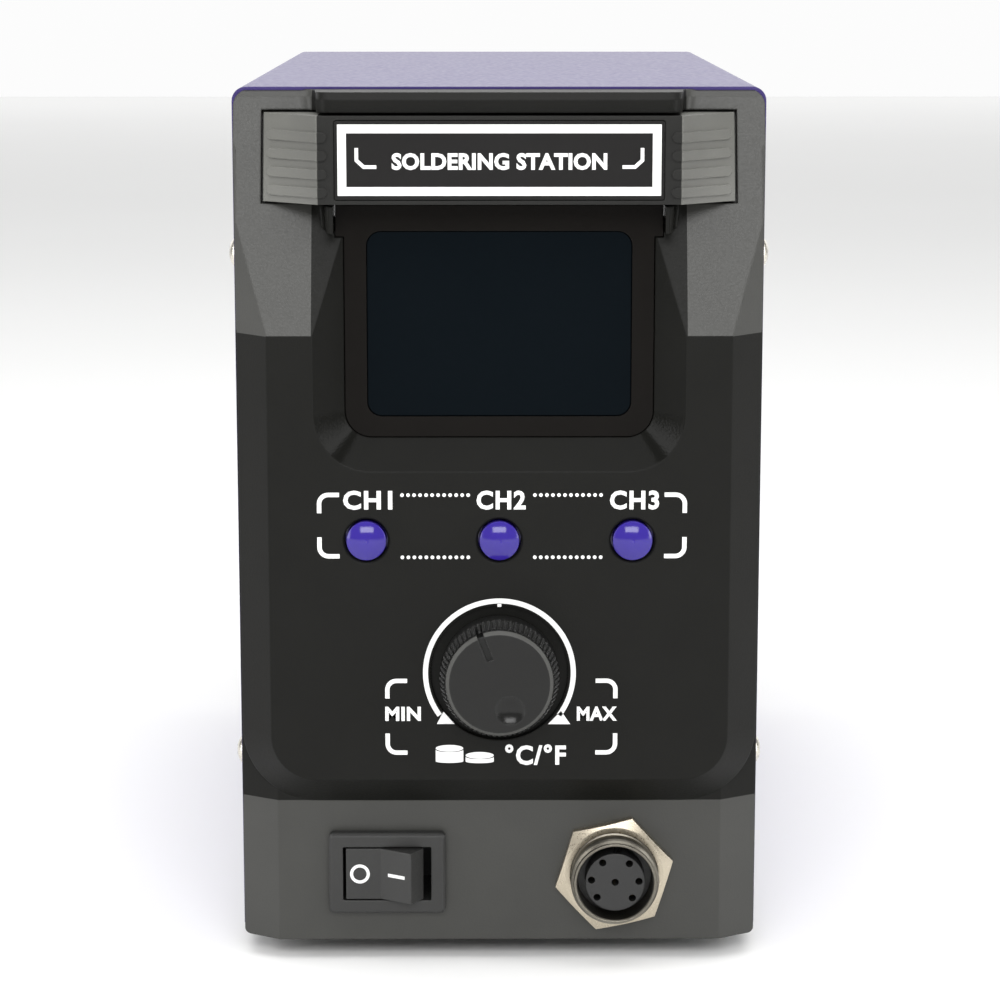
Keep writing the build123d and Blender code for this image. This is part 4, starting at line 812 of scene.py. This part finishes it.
ridge_tree, given, result = new_tree(
    "skirt_ridges",
    {
        "Ridges": "NodeSocketInt",
        "Length": "NodeSocketFloat",
        "Width": "NodeSocketFloat",
        "Rise": "NodeSocketFloat",
        "Radius": "NodeSocketFloat",
        "Lean": "NodeSocketFloat",
        "Finish": "NodeSocketMaterial",
    },
)
tree = ridge_tree
size = node(
    tree,
    "ShaderNodeCombineXYZ",
    {"X": given.outputs["Width"], "Y": given.outputs["Length"], "Z": given.outputs["Rise"]},
)
bar = node(tree, "GeometryNodeMeshCube", {"Size": size.outputs[0]})
out_to = node(tree, "ShaderNodeCombineXYZ", {"Z": given.outputs["Radius"]})
lean = node(tree, "ShaderNodeCombineXYZ", {"X": given.outputs["Lean"]})
ridge = node(
    tree,
    "GeometryNodeTransform",
    {"Geometry": bar.outputs[0], "Translation": out_to.outputs[0], "Rotation": lean.outputs[0]},
)
stack = node(tree, "GeometryNodeMeshLine", {"Count": given.outputs["Ridges"], "Offset": (0, 0, 0)})
share = node(tree, "ShaderNodeMath", {0: math.tau, 1: given.outputs["Ridges"]}, operation="DIVIDE")
order = node(tree, "GeometryNodeInputIndex")
turn = node(tree, "ShaderNodeMath", {0: order.outputs[0], 1: share.outputs[0]}, operation="MULTIPLY")
about = node(tree, "ShaderNodeCombineXYZ", {"Y": turn.outputs[0]})
ring_of = node(
    tree,
    "GeometryNodeInstanceOnPoints",
    {"Points": stack.outputs[0], "Instance": ridge.outputs[0], "Rotation": about.outputs[0]},
)
placed = node(
    tree,
    "GeometryNodeInstanceOnPoints",
    {"Points": given.outputs["Geometry"], "Instance": ring_of.outputs[0]},
)
end_tree(tree, result, placed.outputs[0], given.outputs["Finish"])
lean_rise, lean_run = 0.00087, 0.0037          # how the skirt widens along the knob
grown(
    "knob_ridges",
    ridge_tree,
    {
        "Ridges": 68,
        "Length": 0.0034,
        "Width": 0.00042,
        "Rise": 0.0003,
        "Radius": 0.00998,
        "Lean": math.atan(lean_rise / lean_run),
        "Finish": knob_abs,
    },
    "knob",
    [(knob_x, knob_front + 0.0027, knob_z)],
)

# =====================================================================================
# Mains switch: a snap-in nylon frame and a satin rocker that turns on two pins, marked
# with a ring for off and a bar for on in white ink.
# =====================================================================================
rocker_nylon = finish(
    "rocker_nylon", (0.016, 0.016, 0.0155), (0.021, 0.021, 0.020), (0.36, 0.5), grain=(0.0005, 0.000010),
    rounding=0.0004, edge_wear_and_glint=0.25,
)
dress(rocker_nylon, "rocker_frame", "rocker_paddle")
paddle = BVHTree.FromObject(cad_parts["rocker_paddle"], bpy.context.evaluated_depsgraph_get())
rocker_low, rocker_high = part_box("rocker_paddle")
rocker_z = (rocker_low.z + rocker_high.z) / 2


def marked(name, x, outer, inner=None):
    """Ink laid flat on the rocker's face where a line from the front meets it at x."""
    start = Vector((x, rocker_low.y - 0.01, rocker_z))
    spot, normal = paddle.ray_cast(start, Vector((0, 1, 0)))[:2]
    right = Vector((-normal.y, normal.x, 0)).normalized()
    if right.x < 0:
        right = -right
    bm = bmesh.new()
    rings = []
    for outline in (outer, inner or []):
        for lift in (ink_thick, -ink_thick / 2):
            rings.append(
                [bm.verts.new(spot + right * a + Vector((0, 0, b)) + normal * lift) for a, b in outline]
            )
    if inner is None:
        bm.faces.new(rings[0])
        bm.faces.new(rings[1])
    count = len(outer)
    for a in range(count):
        b = (a + 1) % count
        bm.faces.new((rings[0][a], rings[0][b], rings[1][b], rings[1][a]))
        if inner is not None:
            bm.faces.new((rings[2][a], rings[2][b], rings[3][b], rings[3][a]))
            bm.faces.new((rings[0][a], rings[0][b], rings[2][b], rings[2][a]))
            bm.faces.new((rings[1][a], rings[1][b], rings[3][b], rings[3][a]))
    bmesh.ops.recalc_face_normals(bm, faces=bm.faces)
    solid_piece(name, bm, white_ink, "rocker")


def circle(radius, count=40):
    """Points of a circle."""
    turns = [math.tau * step / count for step in range(count)]
    return [(radius * math.cos(turn), radius * math.sin(turn)) for turn in turns]


switch_low, switch_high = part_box("rocker_frame")
middle_x = (switch_low.x + switch_high.x) / 2
ring_outer, ring_inner = 0.00178, 0.00122
marked("off_mark", middle_x - 0.0049, circle(ring_outer), circle(ring_inner))
half_long, half_wide = 0.00175, 0.0003
dash = [
    (-half_long, -half_wide),
    (half_long, -half_wide),
    (half_long, half_wide),
    (-half_long, half_wide),
]
marked("on_mark", middle_x + 0.0017, dash)

# =====================================================================================
# Handpiece socket: a warm nickel-plated shell with a cut thread, its hexagon nut, a black
# insert with seven contacts and a key notch.
# =====================================================================================
warm_nickel = finish(
    "warm_nickel", (0.46, 0.405, 0.31), (0.56, 0.50, 0.40), (0.20, 0.36), grain=(0.0003, 0.000006),
    rounding=0.00018, edge_wear_and_glint=0.35, Metallic=1.0,
)
dark_nickel = finish(
    "dark_nickel", (0.15, 0.14, 0.118), (0.20, 0.185, 0.155), (0.24, 0.40), grain=(0.0003, 0.000006),
    rounding=0.00012, edge_wear_and_glint=0.8, Metallic=1.0,
)
insert_nylon = finish(
    "insert_nylon", (0.012, 0.012, 0.012), (0.018, 0.018, 0.018), (0.3, 0.44),
    grain=(0.0005, 0.000008), edge_wear_and_glint=0.15,
)
dress(warm_nickel, "socket_nut")
dress(insert_nylon, "socket_insert")

shell_low, shell_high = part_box("socket_shell")
socket_x = (shell_low.x + shell_high.x) / 2
socket_z = (shell_low.z + shell_high.z) / 2
barrel_y = shell_low.y
crest, root, bore, flange = 0.0079, 0.00742, 0.0068, 0.0099


def turned_piece(name, profile, x, z, material, body, steps=96):
    """Piece turned about an axis from front to back, from a closed profile of radius and Y."""
    bm = bmesh.new()
    rings = []
    for step in range(steps):
        turn = math.tau * step / steps
        rings.append([bm.verts.new((x + r * math.cos(turn), y, z + r * math.sin(turn))) for r, y in profile])
    count = len(profile)
    for a in range(steps):
        b = (a + 1) % steps
        for c in range(count):
            d = (c + 1) % count
            bm.faces.new((rings[a][c], rings[a][d], rings[b][d], rings[b][c]))
    bmesh.ops.recalc_face_normals(bm, faces=bm.faces)
    for face in bm.faces:
        face.smooth = False
    return solid_piece(name, bm, material, body)


shell_profile = [
    (bore, barrel_y + 0.0003),
    (bore + 0.0002, barrel_y),
    (root - 0.0001, barrel_y),
    (root, barrel_y + 0.00015),
    (root, barrel_y + 0.0048),
    (crest, barrel_y + 0.0050),
    (crest, barrel_y + 0.0092),
    (flange, barrel_y + 0.0092),
    (flange, barrel_y + 0.0110),
    (bore + 0.0006, barrel_y + 0.0110),
    (bore + 0.0006, shell_high.y),
    (bore, shell_high.y),
]
barrel = turned_piece(
    "socket_barrel", shell_profile, socket_x, socket_z, dark_nickel, "housing"
)

thread_tree, given, result = new_tree(
    "cut_thread",
    {
        "Turns": "NodeSocketFloat",
        "Pitch": "NodeSocketFloat",
        "Root Radius": "NodeSocketFloat",
        "Ridge": "NodeSocketFloat",
        "Finish": "NodeSocketMaterial",
    },
)
tree = thread_tree
rise = node(
    tree, "ShaderNodeMath", {0: given.outputs["Turns"], 1: given.outputs["Pitch"]}, operation="MULTIPLY"
)
helix = node(
    tree,
    "GeometryNodeCurveSpiral",
    {
        "Resolution": 72,
        "Rotations": given.outputs["Turns"],
        "Start Radius": given.outputs["Root Radius"],
        "End Radius": given.outputs["Root Radius"],
        "Height": rise.outputs[0],
    },
)
section = node(tree, "GeometryNodeCurvePrimitiveCircle", {"Resolution": 4, "Radius": given.outputs["Ridge"]})
ridge = node(
    tree,
    "GeometryNodeCurveToMesh",
    {"Curve": helix.outputs[0], "Profile Curve": section.outputs[0], "Fill Caps": True},
)
onto_axis = (math.radians(-90), 0, 0)
laid_down = node(tree, "GeometryNodeTransform", {"Geometry": ridge.outputs[0], "Rotation": onto_axis})
flat = node(tree, "GeometryNodeSetShadeSmooth", {"Geometry": laid_down.outputs[0], "Shade Smooth": False})
placed = node(
    tree, "GeometryNodeInstanceOnPoints", {"Points": given.outputs["Geometry"], "Instance": flat.outputs[0]}
)
end_tree(tree, result, placed.outputs[0], given.outputs["Finish"])
ridge_half = 0.00042
grown(
    "socket_thread",
    thread_tree,
    {
        "Turns": 3.75,
        "Pitch": 0.001,
        "Root Radius": crest - ridge_half,
        "Ridge": ridge_half,
        "Finish": dark_nickel,
    },
    "housing",
    [(socket_x, barrel_y + 0.0005, socket_z)],
)
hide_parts("socket_shell")

# =====================================================================================
# Steel cover: one sheet folded over both sides and finished in a fine violet powder coat,
# with two rows of cooling slots punched in each side. It is screwed on from the sides.
# =====================================================================================
cover_paint = finish(
    "cover_paint", (0.036, 0.022, 0.13), (0.043, 0.027, 0.15), (0.28, 0.40), grain=(0.0009, 0.000014),
    rounding=0.0003, edge_wear_and_glint=0.1, Specular_IOR_Level=0.4,
)
dress(cover_paint, "top_cover")

# =====================================================================================
# Cover screws: eight plated steel screws with a low domed head and a cross recess, four in
# each side of the cover, each stopped at its own angle.
# =====================================================================================
screw_tree, given, result = new_tree(
    "dome_screws",
    {
        "Head Radius": "NodeSocketFloat",
        "Head Height": "NodeSocketFloat",
        "Shank Radius": "NodeSocketFloat",
        "Shank Length": "NodeSocketFloat",
        "Recess Length": "NodeSocketFloat",
        "Recess Width": "NodeSocketFloat",
        "Recess Depth": "NodeSocketFloat",
        "Seed": "NodeSocketInt",
        "Finish": "NodeSocketMaterial",
    },
)
tree = screw_tree
ball = node(tree, "GeometryNodeMeshUVSphere", {"Segments": 32, "Rings": 16, "Radius": 1.0})
shape = node(
    tree,
    "ShaderNodeCombineXYZ",
    {"X": given.outputs["Head Radius"], "Y": given.outputs["Head Radius"], "Z": given.outputs["Head Height"]},
)
dome = node(tree, "GeometryNodeTransform", {"Geometry": ball.outputs[0], "Scale": shape.outputs[0]})
under = node(tree, "GeometryNodeMeshCube", {"Size": (0.02, 0.02, 0.02)})
below = node(tree, "GeometryNodeTransform", {"Geometry": under.outputs[0], "Translation": (0, 0, -0.01)})
long, narrow = given.outputs["Recess Length"], given.outputs["Recess Width"]
deep = given.outputs["Recess Depth"]
arm_one = node(tree, "ShaderNodeCombineXYZ", {"X": long, "Y": narrow, "Z": deep})
arm_two = node(tree, "ShaderNodeCombineXYZ", {"X": narrow, "Y": long, "Z": deep})
top_at = node(tree, "ShaderNodeCombineXYZ", {"Z": given.outputs["Head Height"]})
cuts = [below.outputs[0]]
for arm in (arm_one, arm_two):
    slab = node(tree, "GeometryNodeMeshCube", {"Size": arm.outputs[0]})
    lifted = node(
        tree, "GeometryNodeTransform", {"Geometry": slab.outputs[0], "Translation": top_at.outputs[0]}
    )
    cuts.append(lifted.outputs[0])
head = node(tree, "GeometryNodeMeshBoolean", {"Mesh 1": dome.outputs[0]}, operation="DIFFERENCE")
for cut in cuts:
    tree.links.new(cut, head.inputs["Mesh 2"])
shank = node(
    tree,
    "GeometryNodeMeshCylinder",
    {"Vertices": 24, "Radius": given.outputs["Shank Radius"], "Depth": given.outputs["Shank Length"]},
)
half = node(tree, "ShaderNodeMath", {0: given.outputs["Shank Length"], 1: -0.5}, operation="MULTIPLY")
down = node(tree, "ShaderNodeCombineXYZ", {"Z": half.outputs[0]})
hung = node(tree, "GeometryNodeTransform", {"Geometry": shank.outputs[0], "Translation": down.outputs[0]})
screw = node(tree, "GeometryNodeJoinGeometry")
tree.links.new(head.outputs[0], screw.inputs[0])
tree.links.new(hung.outputs[0], screw.inputs[0])
sideways = node(
    tree, "GeometryNodeTransform", {"Geometry": screw.outputs[0], "Rotation": (0, math.radians(90), 0)}
)
spot = node(tree, "GeometryNodeInputPosition")
spot_x = node(tree, "ShaderNodeSeparateXYZ", {0: spot.outputs[0]})
on_left = node(tree, "ShaderNodeMath", {0: spot_x.outputs["X"], 1: 0.0}, operation="LESS_THAN")
about = node(tree, "ShaderNodeMath", {0: on_left.outputs[0], 1: math.pi}, operation="MULTIPLY")
twist = node(
    tree,
    "FunctionNodeRandomValue",
    {2: 0.0, 3: math.pi / 2, "Seed": given.outputs["Seed"]},
    data_type="FLOAT",
)
angle = node(tree, "ShaderNodeCombineXYZ", {"X": twist.outputs[1], "Z": about.outputs[0]})
screws = node(
    tree,
    "GeometryNodeInstanceOnPoints",
    {"Points": given.outputs["Geometry"], "Instance": sideways.outputs[0], "Rotation": angle.outputs[0]},
)
end_tree(tree, result, screws.outputs[0], given.outputs["Finish"])
screw_low, screw_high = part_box("cover_screws")
cover_low, cover_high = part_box("top_cover")
head_radius = 0.0026
places = [
    (x, y, z)
    for x in (cover_low.x, cover_high.x)
    for y in (screw_low.y + head_radius, screw_high.y - head_radius)
    for z in (screw_low.z + head_radius, screw_high.z - head_radius)
]
bright_zinc = finish(
    "bright_zinc", (0.60, 0.57, 0.50), (0.70, 0.67, 0.60), (0.18, 0.32), grain=(0.0006, 0.000006),
    rounding=0.00012, edge_wear_and_glint=0.25, Metallic=1.0,
)
screw_set = grown(
    "cover_screw_set",
    screw_tree,
    {
        "Head Radius": head_radius,
        "Head Height": screw_high.x - cover_high.x,
        "Shank Radius": 0.0015,
        "Shank Length": 0.0074,
        "Recess Length": 0.0027,
        "Recess Width": 0.0006,
        "Recess Depth": 0.0016,
        "Seed": 7,
        "Finish": bright_zinc,
    },
    "housing",
    places,
)
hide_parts("cover_screws")
